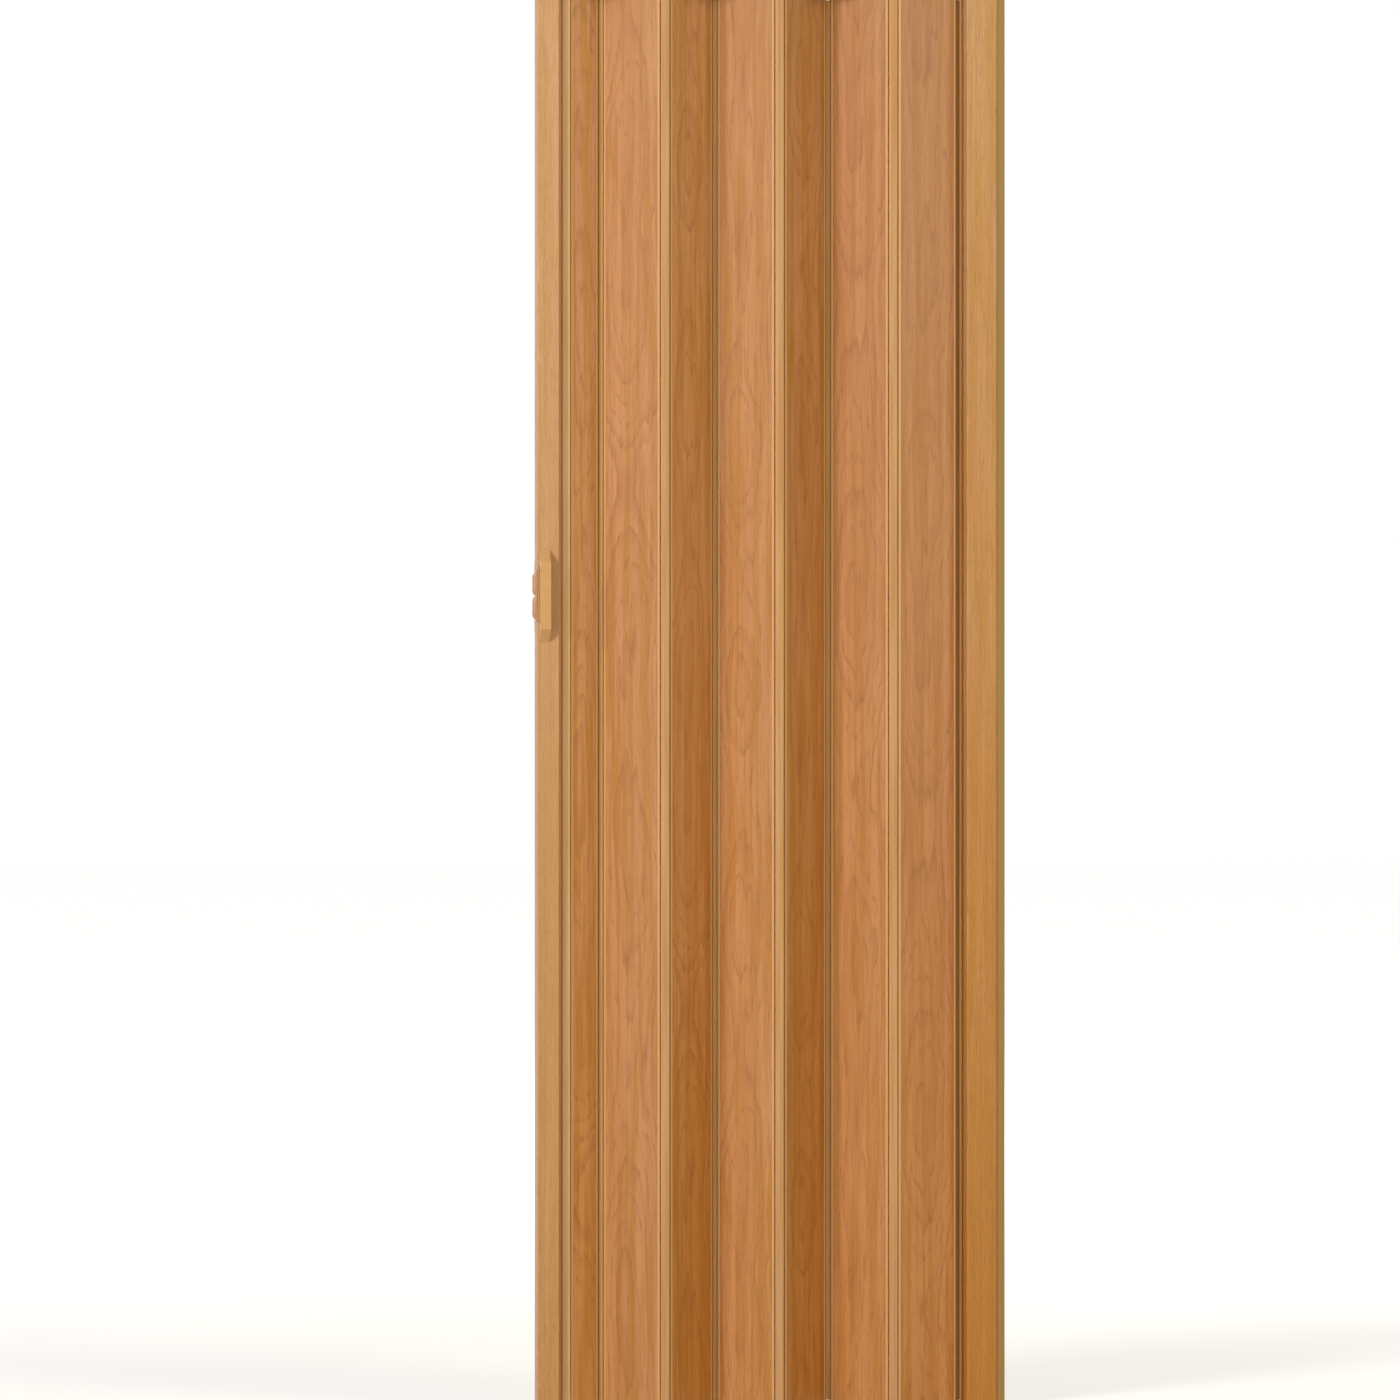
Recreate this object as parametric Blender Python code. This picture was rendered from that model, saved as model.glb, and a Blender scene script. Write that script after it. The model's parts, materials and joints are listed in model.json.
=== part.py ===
"""Folding door: a wood-grained PVC accordion leaf that hangs from a track and folds against one wall.

The part is modelled in metres, +Z up, the front towards -Y. Its origin is the middle of the track's
top face, where the door meets the head of the opening; the floor lies DOOR_HEIGHT below it.
The leaf is a chain: fixed post, strip 8, panel 6, strip 7 ... panel 1, strip 2, half panel, strip 1
and lead post. Each strip grips a round bead on the edges of its two neighbours, so every bead's
centre line is a hinge axis.
"""

import math

import bmesh
import bpy
from mathutils import Matrix, Vector
from mathutils.geometry import delaunay_2d_cdt

# The opening that the door fills
DOOR_HEIGHT = 2.050
OPENING_WIDTH = 0.820

# Running clearances
SEAT_GAP = 0.0003
FLOOR_GAP = 0.006
HANG_GAP = 0.006

# Top track: a channel with an open slot below
TRACK_WIDTH = 0.038
TRACK_HEIGHT = 0.032
TRACK_WALL = 0.0016
TRACK_LIP = 0.0020
TRACK_SLOT = 0.013
TRACK_HOLE_SHARES = (-0.44, -0.15, 0.15, 0.44)

# Countersunk holes for the wall screws
HOLE_RADIUS = 0.0024
SINK_RADIUS = 0.0045
SINK_DEPTH = 0.0010
CUT_OVERRUN = 0.002

# Wall jamb: a U profile that the fixed post snaps into
JAMB_DEPTH = 0.010
JAMB_WALL = 0.0016
JAMB_SIDE_GAP = 0.0005
JAMB_HOLE_SHARES = (0.07, 0.34, 0.66, 0.93)
SNAP_DISTANCE = 0.0066
SNAP_LENGTH = 0.0014
SNAP_HEIGHT = 0.0009
SNAP_PLAY = 0.0004

# Posts
POST_DEPTH = 0.035
POST_WALL = 0.0013
POST_CHAMFER = 0.0010
FIXED_POST_FACE = 0.0444
FIXED_POST_TUCK = 0.0062
LEAD_POST_FACE = 0.0303
TONGUE_LENGTH = 0.0050
TONGUE_THICKNESS = 0.0060

# Panels, measured from hinge axis to hinge axis
PANEL_WIDTH = 0.102
HALF_PANEL_WIDTH = 0.059
PANEL_COUNT = 6
PANEL_THICKNESS = 0.006
PANEL_SKIN = 0.0009
PANEL_EDGE_SOLID = 0.0032
PANEL_CELLS = 5
HALF_PANEL_CELLS = 3
EDGE_RIB_WIDTH = 0.0036
EDGE_RIB_HEIGHT = 0.0005
EDGE_RIB_SLOPE = 0.0006

# Bead-and-socket hinges
HINGE_SPACING = 0.0070
BEAD_RADIUS = 0.0017
NECK_THICKNESS = 0.0012
SOCKET_GAP = 0.0003
SOCKET_WALL = 0.0009
SHOULDER_GAP = 0.0004
WEB_HALF_HEIGHT = 0.0015
STRIP_INSET = 0.0015
MOUTH_OUTER_ANGLE = math.radians(24.0)
MOUTH_INNER_ANGLE = math.radians(106.0)

# How far the leaf is folded at rest, and how far behind the track's centre line it hangs
FOLD_ANGLE = math.radians(42.5)
LEAF_OFFSET = 0.004

# Gliders that hang the leaf in the track
DISC_RADIUS = 0.0115
DISC_THICKNESS = 0.0030
STEM_RADIUS = 0.0018
COLLAR_RADIUS = 0.0030
COLLAR_HEIGHT = 0.0015
BLADE_WIDTH = 0.012
BLADE_THICKNESS = 0.0034
BLADE_DEPTH = 0.030
SLIDER_LENGTH = 0.026
CAP_PLATE = 0.0015
CAP_PLUG_DEPTH = 0.012

# Pull handles, one on each face of the lead post
HANDLE_CENTRE_HEIGHT = 1.156
HANDLE_WIDTH = 0.0150
HANDLE_EDGE_DISTANCE = 0.0016
HANDLE_LENGTH = 0.132
HANDLE_GRIP_LENGTH = 0.094
HANDLE_STANDOFF = 0.0150
HANDLE_GRIP_THICKNESS = 0.0042
HANDLE_GAP_LENGTH = 0.084
HANDLE_GAP_SLOPE = 0.004
HANDLE_BEVEL = 0.0008
SCREW_INSET = 0.0130
SCREW_RADIUS = 0.0020
SCREW_HEAD_RADIUS = 0.0036
SCREW_HEAD_HEIGHT = 0.0024
SCREW_PLAY = 0.0004
SCREW_SEAT = 0.0040
SCREW_BITE = 0.0060

# Snap catch in the lead post's outer edge
CATCH_FLANGE_LENGTH = 0.074
CATCH_FLANGE_WIDTH = 0.022
CATCH_FLANGE_THICKNESS = 0.0012
CATCH_BODY_WIDTH = 0.0160
CATCH_BODY_DEPTH = 0.0165
CATCH_WALL = 0.0012
CATCH_PLATE = 0.0012
NOSE_LENGTH = 0.030
NOSE_WIDTH = 0.0100
NOSE_PROUD = 0.0042
NOSE_ROUNDING = 0.0060
NOSE_SHOULDER = 0.0015
NOSE_SHOULDER_OVERLAP = 0.0009
NOSE_END_PROUD = 0.0012
SPRING_RADIUS = 0.0026
SPRING_WIRE = 0.00035

# How finely round shapes are divided
ARC_STEP = math.radians(18.0)
ROUND_SIDES = 24
SCREW_SIDES = 16
NOSE_STATIONS = 4
SPRING_TURNS = 6
SPRING_POINTS_PER_TURN = 9
SMOOTH_ANGLE = math.radians(35.0)
CAP_TOLERANCE = 1e-7

# Places that follow from the sizes above
FLOOR_Z = -DOOR_HEIGHT
TRACK_UNDERSIDE_Z = -TRACK_HEIGHT
LIP_TOP_Z = TRACK_UNDERSIDE_Z + TRACK_LIP
LEAF_TOP_Z = TRACK_UNDERSIDE_Z - HANG_GAP
LEAF_BOTTOM_Z = FLOOR_Z + FLOOR_GAP
HANDLE_Z = FLOOR_Z + HANDLE_CENTRE_HEIGHT
WALL_X = OPENING_WIDTH / 2
SOCKET_INNER_RADIUS = BEAD_RADIUS + SOCKET_GAP
SOCKET_OUTER_RADIUS = SOCKET_INNER_RADIUS + SOCKET_WALL
SHOULDER = SOCKET_OUTER_RADIUS + SHOULDER_GAP
FIXED_POST_LEFT_X = WALL_X - JAMB_DEPTH - FIXED_POST_FACE
FIXED_AXIS_X = FIXED_POST_LEFT_X - SHOULDER
END_PANEL_ANGLE = math.asin(math.sin(FOLD_ANGLE) / 2)
HALF_PANEL_ANGLE = math.asin(PANEL_WIDTH * math.sin(FOLD_ANGLE) / 2 / HALF_PANEL_WIDTH)
SCREW_SPACING = HANDLE_LENGTH - 2 * SCREW_INSET
CATCH_BODY_LENGTH = 2 * (NOSE_LENGTH + 2 * NOSE_SHOULDER_OVERLAP + 2 * SEAT_GAP) + 3 * CATCH_WALL
NOSE_CENTRE = (CATCH_BODY_LENGTH - CATCH_WALL) / 4

# Colours as linear RGB, with roughness and metallic value
FINISHES = {
    "panel_foil": ((0.56, 0.26, 0.11), 0.42, 0.0),
    "post_foil": ((0.60, 0.32, 0.13), 0.42, 0.0),
    "soft_hinge": ((0.66, 0.36, 0.17), 0.38, 0.0),
    "handle_plastic": ((0.68, 0.38, 0.15), 0.35, 0.0),
    "track_plastic": ((0.58, 0.33, 0.15), 0.45, 0.0),
    "glider_nylon": ((0.80, 0.78, 0.72), 0.40, 0.0),
    "zinc_steel": ((0.62, 0.62, 0.63), 0.30, 1.0),
}


def clear_scene():
    """Removes everything that a new file holds."""
    for item in list(bpy.data.objects):
        bpy.data.objects.remove(item, do_unlink=True)


def make_materials():
    """Makes one Principled material for each finish."""
    materials = {}
    for name, (colour, roughness, metallic) in FINISHES.items():
        material = bpy.data.materials.new(name)
        material.use_nodes = True
        shader = material.node_tree.nodes["Principled BSDF"]
        shader.inputs["Base Color"].default_value = (*colour, 1.0)
        shader.inputs["Roughness"].default_value = roughness
        shader.inputs["Metallic"].default_value = metallic
        materials[name] = material
    return materials


def add_empty(name, place):
    """Adds an empty that carries the pieces of one moving body."""
    empty = bpy.data.objects.new(name, None)
    empty.location = place
    bpy.context.collection.objects.link(empty)
    return empty


def add_object(name, mesh, material, place=(0.0, 0.0, 0.0), turn=0.0, parent=None):
    """Puts a mesh in the scene as one named piece, placed in its parent's frame."""
    mesh.shade_smooth()
    mesh.set_sharp_from_angle(angle=SMOOTH_ANGLE)
    piece = bpy.data.objects.new(name, mesh)
    piece.location = place
    piece.rotation_euler[2] = turn
    piece.parent = parent
    piece.data.materials.append(material)
    bpy.context.collection.objects.link(piece)
    return piece


def mesh_from(bm, name):
    """Turns a bmesh into a mesh with its faces pointing out."""
    bmesh.ops.recalc_face_normals(bm, faces=bm.faces)
    mesh = bpy.data.meshes.new(name)
    bm.to_mesh(mesh)
    bm.free()
    return mesh


def along_z(across, up, length):
    """Profile points (x, y) that run along Z."""
    return Vector((across, up, length))


def along_x(across, up, length):
    """Profile points (y, z) that run along X."""
    return Vector((length, across, up))


def on_material(x, y, loops):
    """Tells whether a point lies inside the outline and outside its holes, by the even-odd rule."""
    crossings = 0
    for loop in loops:
        for index, (x1, y1) in enumerate(loop):
            x2, y2 = loop[index - 1]
            if (y1 > y) != (y2 > y) and x < x1 + (y - y1) / (y2 - y1) * (x2 - x1):
                crossings += 1
    return crossings % 2 == 1


def cap_triangles(loops):
    """Fills an outline less its holes with triangles, as corner numbers counted through the loops."""
    size = max(abs(value) for loop in loops for point in loop for value in point)
    scaled = [[(x / size, y / size) for x, y in loop] for loop in loops]
    points = [Vector(point) for loop in scaled for point in loop]
    edges = []
    for loop in scaled:
        first = len(edges)
        edges += [(first + index, first + (index + 1) % len(loop)) for index in range(len(loop))]
    corners, _, triangles, sources, _, _ = delaunay_2d_cdt(points, edges, [], 0, CAP_TOLERANCE, True)
    kept = []
    for triangle in triangles:
        middle = sum((corners[corner] for corner in triangle), Vector((0.0, 0.0))) / len(triangle)
        if on_material(middle.x, middle.y, scaled):
            kept.append([sources[corner][0] for corner in triangle])
    return kept


def extrude_profile(name, loops, start, end, placed=along_z):
    """Makes a prism from one outer loop and any inner loops, as an extruded section with open cells."""
    bm = bmesh.new()
    near = [[bm.verts.new(placed(x, y, start)) for x, y in loop] for loop in loops]
    far = [[bm.verts.new(placed(x, y, end)) for x, y in loop] for loop in loops]
    near_points = [vert for loop in near for vert in loop]
    far_points = [vert for loop in far for vert in loop]
    for corners in cap_triangles(loops):
        bm.faces.new([near_points[index] for index in corners])
        bm.faces.new([far_points[index] for index in reversed(corners)])
    for lower, upper in zip(near, far):
        for index, vert in enumerate(lower):
            after = (index + 1) % len(lower)
            bm.faces.new((vert, lower[after], upper[after], upper[index]))
    return mesh_from(bm, name)


def arc(centre, radius, start, end):
    """Points on a circle from one angle to another, both included."""
    steps = max(1, round(abs(end - start) / ARC_STEP))
    points = []
    for step in range(steps + 1):
        angle = start + (end - start) * step / steps
        points.append((centre[0] + radius * math.cos(angle), centre[1] + radius * math.sin(angle)))
    return points


def rectangle(left, right, low, high):
    """The corners of an upright rectangle, anticlockwise."""
    return [(left, low), (right, low), (right, high), (left, high)]


def bead_edge(axis, shoulder_half):
    """The right-hand edge of a profile: shoulder, neck and the round bead on a hinge axis."""
    root = math.pi - math.asin(NECK_THICKNESS / 2 / BEAD_RADIUS)
    shoulder = axis[0] - SHOULDER
    return [
        (shoulder, axis[1] - shoulder_half),
        (shoulder, axis[1] - NECK_THICKNESS / 2),
        *arc(axis, BEAD_RADIUS, -root, root),
        (shoulder, axis[1] + NECK_THICKNESS / 2),
        (shoulder, axis[1] + shoulder_half),
    ]


def panel_edge():
    """A panel's right-hand edge, from the front face round the bead to the back face."""
    face = PANEL_THICKNESS / 2
    crown = face + EDGE_RIB_HEIGHT
    inner = -SHOULDER - EDGE_RIB_WIDTH
    front = [
        (inner, -face),
        (inner + EDGE_RIB_SLOPE, -crown),
        (-SHOULDER - EDGE_RIB_SLOPE, -crown),
    ]
    back = [(x, -y) for x, y in reversed(front)]
    return front + bead_edge((0.0, 0.0), face) + back


def panel_loops(width, cells):
    """A hollow panel between two hinge axes: the right one at the origin, the left one at -width."""
    right = panel_edge()
    left = [(-width - x, -y) for x, y in right]
    half_cell = PANEL_THICKNESS / 2 - PANEL_SKIN
    first = -width + SHOULDER + PANEL_EDGE_SOLID
    run = width - 2 * (SHOULDER + PANEL_EDGE_SOLID)
    cell = (run - (cells - 1) * PANEL_SKIN) / cells
    loops = [right + left]
    for index in range(cells):
        start = first + index * (cell + PANEL_SKIN)
        loops.append(rectangle(start, start + cell, -half_cell, half_cell))
    return loops


def strip_outline(closed_side):
    """Two C-shaped sockets joined by a web: the right one round the origin, the left one beside it.

    closed_side is -1 where the sockets are closed towards the front, and 1 towards the back.
    """
    right = (0.0, 0.0)
    left = (-HINGE_SPACING, 0.0)
    lip = -MOUTH_OUTER_ANGLE
    tip = MOUTH_INNER_ANGLE
    web = math.asin(WEB_HALF_HEIGHT / SOCKET_OUTER_RADIUS)
    full = 2 * math.pi
    points = [
        *arc(right, SOCKET_OUTER_RADIUS, -math.pi / 2, lip),
        *arc(right, SOCKET_INNER_RADIUS, full + lip, tip),
        *arc(right, SOCKET_OUTER_RADIUS, tip, math.pi - web),
        *arc(left, SOCKET_OUTER_RADIUS, web, math.pi - tip),
        *arc(left, SOCKET_INNER_RADIUS, math.pi - tip, -math.pi - lip),
        *arc(left, SOCKET_OUTER_RADIUS, math.pi - lip, math.pi * 3 / 2),
    ]
    if closed_side > 0:
        points = [(x, -y) for x, y in reversed(points)]
    return points


def lead_post_loops():
    """The lead post's section, with its hinge axis at the origin and its outer face to the left."""
    wall = -SHOULDER - TONGUE_LENGTH
    outer = wall - LEAD_POST_FACE
    half = POST_DEPTH / 2
    tongue = TONGUE_THICKNESS / 2
    outline = [
        (outer + POST_CHAMFER, -half),
        (wall - POST_CHAMFER, -half),
        (wall, -half + POST_CHAMFER),
        (wall, -tongue),
        *bead_edge((0.0, 0.0), tongue),
        (wall, tongue),
        (wall, half - POST_CHAMFER),
        (wall - POST_CHAMFER, half),
        (outer + POST_CHAMFER, half),
        (outer, half - POST_CHAMFER),
        (outer, -half + POST_CHAMFER),
    ]
    inside = half - POST_WALL
    return [outline, rectangle(outer + POST_WALL, wall - POST_WALL, -inside, inside)]


def fixed_post_loops():
    """The fixed post's section in the part's frame: bead to the left, snap grooves to the right."""
    left = FIXED_POST_LEFT_X
    right = WALL_X - JAMB_DEPTH + FIXED_POST_TUCK
    half = POST_DEPTH / 2
    groove_end = WALL_X - SNAP_DISTANCE + SNAP_LENGTH / 2 + SNAP_PLAY
    groove_start = groove_end - SNAP_LENGTH - 2 * SNAP_PLAY
    floor = half - SNAP_HEIGHT
    edge = [(2 * FIXED_AXIS_X - x, y) for x, y in reversed(bead_edge((FIXED_AXIS_X, LEAF_OFFSET), 0.0))]
    outline = [
        (left + POST_CHAMFER, -half),
        (groove_start, -half),
        (groove_start, -floor),
        (groove_end, -floor),
        (groove_end, -half),
        (right, -half),
        (right, half),
        (groove_end, half),
        (groove_end, floor),
        (groove_start, floor),
        (groove_start, half),
        (left + POST_CHAMFER, half),
        (left, half - POST_CHAMFER),
        *edge[1:-1],
        (left, -half + POST_CHAMFER),
    ]
    inside = floor - POST_WALL
    middle = (left + right) / 2
    return [
        outline,
        rectangle(left + POST_WALL, middle - POST_WALL / 2, -inside, inside),
        rectangle(middle + POST_WALL / 2, right - POST_WALL, -inside, inside),
    ]


def jamb_loops():
    """The wall jamb's U section, open to the left, with a snap bead inside each flange."""
    inner = POST_DEPTH / 2 + JAMB_SIDE_GAP
    outer = inner + JAMB_WALL
    mouth = WALL_X - JAMB_DEPTH
    base = WALL_X - JAMB_WALL
    bead_end = WALL_X - SNAP_DISTANCE + SNAP_LENGTH / 2
    bead_start = bead_end - SNAP_LENGTH
    crest = POST_DEPTH / 2 - SNAP_HEIGHT + SNAP_PLAY
    lower = [
        (WALL_X, -outer),
        (mouth, -outer),
        (mouth, -inner),
        (bead_start, -inner),
        ((bead_start + bead_end) / 2, -crest),
        (bead_end, -inner),
        (base, -inner),
    ]
    upper = [(x, -y) for x, y in reversed(lower)]
    return [list(reversed(lower + upper))]


def track_loops():
    """The track's section (y, z): a channel closed above, with two lips either side of the slot."""
    half = TRACK_WIDTH / 2
    inside = half - TRACK_WALL
    slot = TRACK_SLOT / 2
    right = [
        (slot, LIP_TOP_Z),
        (slot, TRACK_UNDERSIDE_Z),
        (half, TRACK_UNDERSIDE_Z),
        (half, 0.0),
    ]
    left = [(-y, z) for y, z in reversed(right)]
    inner = [
        (-inside, LIP_TOP_Z),
        (-inside, -TRACK_WALL),
        (inside, -TRACK_WALL),
        (inside, LIP_TOP_Z),
    ]
    return [right + left + inner]


def add_turned(bm, profile, sides):
    """Adds a solid of revolution about Z from (radius, z) points, whose ends lie on the axis."""
    rings = []
    for radius, height in profile:
        if radius == 0.0:
            rings.append([bm.verts.new((0.0, 0.0, height))])
            continue
        ring = []
        for side in range(sides):
            angle = 2 * math.pi * side / sides
            ring.append(bm.verts.new((radius * math.cos(angle), radius * math.sin(angle), height)))
        rings.append(ring)
    for lower, upper in zip(rings, rings[1:]):
        for side in range(sides):
            after = (side + 1) % sides
            if len(lower) == 1:
                bm.faces.new((lower[0], upper[after], upper[side]))
            elif len(upper) == 1:
                bm.faces.new((lower[side], lower[after], upper[0]))
            else:
                bm.faces.new((lower[side], lower[after], upper[after], upper[side]))


def add_cutter(name, profile, place, direction, parent=None):
    """Adds a hidden turned cutter, its axis of revolution laid along direction."""
    bm = bmesh.new()
    add_turned(bm, profile, SCREW_SIDES)
    cutter = bpy.data.objects.new(name, mesh_from(bm, name))
    cutter.location = place
    cutter.rotation_mode = "QUATERNION"
    cutter.rotation_quaternion = Vector((0.0, 0.0, 1.0)).rotation_difference(Vector(direction))
    cutter.parent = parent
    cutter.hide_render = True
    cutter.display_type = "WIRE"
    bpy.context.collection.objects.link(cutter)
    return cutter


def add_box_cutter(name, low, high, parent=None):
    """Adds a hidden box between two corners."""
    section = rectangle(low[0], high[0], low[1], high[1])
    cutter = bpy.data.objects.new(name, extrude_profile(name, [section], low[2], high[2]))
    cutter.parent = parent
    cutter.hide_render = True
    cutter.display_type = "WIRE"
    bpy.context.collection.objects.link(cutter)
    return cutter


def boolean(piece, other, operation):
    """Adds an exact boolean with another object."""
    modifier = piece.modifiers.new(other.name, "BOOLEAN")
    modifier.operation = operation
    modifier.solver = "EXACT"
    modifier.object = other


def sunk_hole(wall):
    """A countersunk hole's profile: its wide end at the inner face, z = 0, cutting towards +Z."""
    return [
        (0.0, -CUT_OVERRUN),
        (SINK_RADIUS, -CUT_OVERRUN),
        (SINK_RADIUS, 0.0),
        (HOLE_RADIUS, SINK_DEPTH),
        (HOLE_RADIUS, wall + CUT_OVERRUN),
        (0.0, wall + CUT_OVERRUN),
    ]


def straight_hole(radius, start, end):
    """A plain round hole's profile."""
    return [(0.0, start), (radius, start), (radius, end), (0.0, end)]


def build_track(materials):
    """The top track, with countersunk holes in its web for screws into the head of the opening."""
    mesh = extrude_profile("top_track", track_loops(), -WALL_X, WALL_X, along_x)
    track = add_object("top_track", mesh, materials["track_plastic"])
    for number, share in enumerate(TRACK_HOLE_SHARES, 1):
        place = (share * OPENING_WIDTH, 0.0, -TRACK_WALL)
        cutter = add_cutter(f"track_hole_{number}", sunk_hole(TRACK_WALL), place, (0.0, 0.0, 1.0))
        boolean(track, cutter, "DIFFERENCE")


def build_jamb(materials):
    """The wall jamb, with countersunk holes in its base for screws into the wall."""
    top = TRACK_UNDERSIDE_Z - SEAT_GAP
    mesh = extrude_profile("wall_jamb", jamb_loops(), FLOOR_Z, top)
    jamb = add_object("wall_jamb", mesh, materials["track_plastic"])
    for number, share in enumerate(JAMB_HOLE_SHARES, 1):
        place = (WALL_X - JAMB_WALL, 0.0, FLOOR_Z + share * (top - FLOOR_Z))
        cutter = add_cutter(f"jamb_hole_{number}", sunk_hole(JAMB_WALL), place, (1.0, 0.0, 0.0))
        boolean(jamb, cutter, "DIFFERENCE")


def build_fixed_post(materials):
    """The fixed post, held in the jamb."""
    mesh = extrude_profile("fixed_post", fixed_post_loops(), LEAF_BOTTOM_Z, LEAF_TOP_Z)
    add_object("fixed_post", mesh, materials["post_foil"])


def build_strip(number, closed_side, axis, materials, parent=None):
    """One hinge strip, its right-hand hinge axis at axis (x, y)."""
    name = f"hinge_strip_{number}"
    outline = strip_outline(closed_side)
    mesh = extrude_profile(name, [outline], LEAF_BOTTOM_Z + STRIP_INSET, LEAF_TOP_Z - STRIP_INSET)
    add_object(name, mesh, materials["soft_hinge"], (axis[0], axis[1], 0.0), parent=parent)


def build_glider(number, place, turn, materials):
    """A sliding disc on a stem, whose blade plugs into the top of a panel's middle cell."""
    disc_low = LIP_TOP_Z + SEAT_GAP
    collar_low = LEAF_TOP_Z + SEAT_GAP
    bm = bmesh.new()
    add_turned(
        bm,
        [
            (0.0, collar_low),
            (COLLAR_RADIUS, collar_low),
            (COLLAR_RADIUS, collar_low + COLLAR_HEIGHT),
            (STEM_RADIUS, collar_low + COLLAR_HEIGHT),
            (STEM_RADIUS, disc_low),
            (DISC_RADIUS, disc_low),
            (DISC_RADIUS, disc_low + DISC_THICKNESS),
            (0.0, disc_low + DISC_THICKNESS),
        ],
        ROUND_SIDES,
    )
    mesh = mesh_from(bm, f"glider_{number}")
    glider = add_object(f"glider_{number}", mesh, materials["glider_nylon"], (*place, 0.0), turn)
    low = (-BLADE_WIDTH / 2, -BLADE_THICKNESS / 2, LEAF_TOP_Z - BLADE_DEPTH)
    high = (BLADE_WIDTH / 2, BLADE_THICKNESS / 2, collar_low + COLLAR_HEIGHT / 2)
    blade = add_box_cutter(f"glider_blade_{number}", low, high, glider)
    boolean(glider, blade, "UNION")


def build_leaf(materials):
    """The panels, the moving hinge strips and the gliders, walked from the fixed post to the lead.

    Returns the hinge axis (x, y) at which the half panel meets the lead post's strip.
    """
    x, y = FIXED_AXIS_X, LEAF_OFFSET
    build_strip(PANEL_COUNT + 2, 1, (x, y), materials)
    x -= HINGE_SPACING
    for number in range(PANEL_COUNT, -1, -1):
        is_half = number == 0
        width = HALF_PANEL_WIDTH if is_half else PANEL_WIDTH
        if is_half:
            name, cells, angle = "half_panel", HALF_PANEL_CELLS, HALF_PANEL_ANGLE
        else:
            name, cells = f"panel_{number}", PANEL_CELLS
            angle = END_PANEL_ANGLE if number == PANEL_COUNT else FOLD_ANGLE
        towards_front = (PANEL_COUNT - number) % 2 == 0
        turn = angle if towards_front else -angle
        mesh = extrude_profile(name, panel_loops(width, cells), LEAF_BOTTOM_Z, LEAF_TOP_Z)
        add_object(name, mesh, materials["panel_foil"], (x, y, 0.0), turn)
        step = (-width * math.cos(turn), -width * math.sin(turn))
        if 0 < number < PANEL_COUNT:
            build_glider(number, (x + step[0] / 2, y + step[1] / 2), turn, materials)
        x, y = x + step[0], y + step[1]
        if not is_half:
            build_strip(number + 1, -1 if towards_front else 1, (x, y), materials)
            x -= HINGE_SPACING
    return x, y


def lead_post_middle():
    """The middle of the lead post's box, measured along X from its hinge axis."""
    return -SHOULDER - TONGUE_LENGTH - LEAD_POST_FACE / 2


def build_lead_post(frame, materials):
    """The lead post, cut for the handle screws and for the catch."""
    mesh = extrude_profile("lead_post", lead_post_loops(), LEAF_BOTTOM_Z, LEAF_TOP_Z)
    place = (-HINGE_SPACING, 0.0, 0.0)
    post = add_object("lead_post", mesh, materials["post_foil"], place, parent=frame)
    outer = lead_post_middle() - HINGE_SPACING - LEAD_POST_FACE / 2
    half_width = CATCH_BODY_WIDTH / 2 + SEAT_GAP
    half_length = CATCH_BODY_LENGTH / 2 + SEAT_GAP
    low = (outer - CUT_OVERRUN, -half_width, HANDLE_Z - half_length)
    high = (outer + POST_WALL + CUT_OVERRUN, half_width, HANDLE_Z + half_length)
    boolean(post, add_box_cutter("catch_mortise", low, high, frame), "DIFFERENCE")
    for number, side in enumerate((-1, 1), 1):
        hole = straight_hole(SCREW_RADIUS + SCREW_PLAY, -POST_DEPTH, POST_DEPTH)
        spot = (handle_x(outer), 0.0, HANDLE_Z + side * SCREW_SPACING / 2)
        cutter = add_cutter(f"post_screw_hole_{number}", hole, spot, (0.0, 1.0, 0.0), frame)
        boolean(post, cutter, "DIFFERENCE")
    return outer


def handle_x(outer):
    """The handles' middle, from the lead post's outer face."""
    return outer + HANDLE_EDGE_DISTANCE + HANDLE_WIDTH / 2


def handle_outline(side):
    """A bow handle's side view (y, z) on one face of the post: side is -1 in front, 1 behind."""
    foot = POST_DEPTH / 2 + SEAT_GAP
    grip = foot + HANDLE_STANDOFF
    ceiling = grip - HANDLE_GRIP_THICKNESS
    gap = HANDLE_GAP_LENGTH / 2
    points = [
        (foot, -HANDLE_LENGTH / 2),
        (grip, -HANDLE_GRIP_LENGTH / 2),
        (grip, HANDLE_GRIP_LENGTH / 2),
        (foot, HANDLE_LENGTH / 2),
        (foot, gap),
        (ceiling, gap - HANDLE_GAP_SLOPE),
        (ceiling, -gap + HANDLE_GAP_SLOPE),
        (foot, -gap),
    ]
    return [(side * y, HANDLE_Z + z) for y, z in points]


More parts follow.
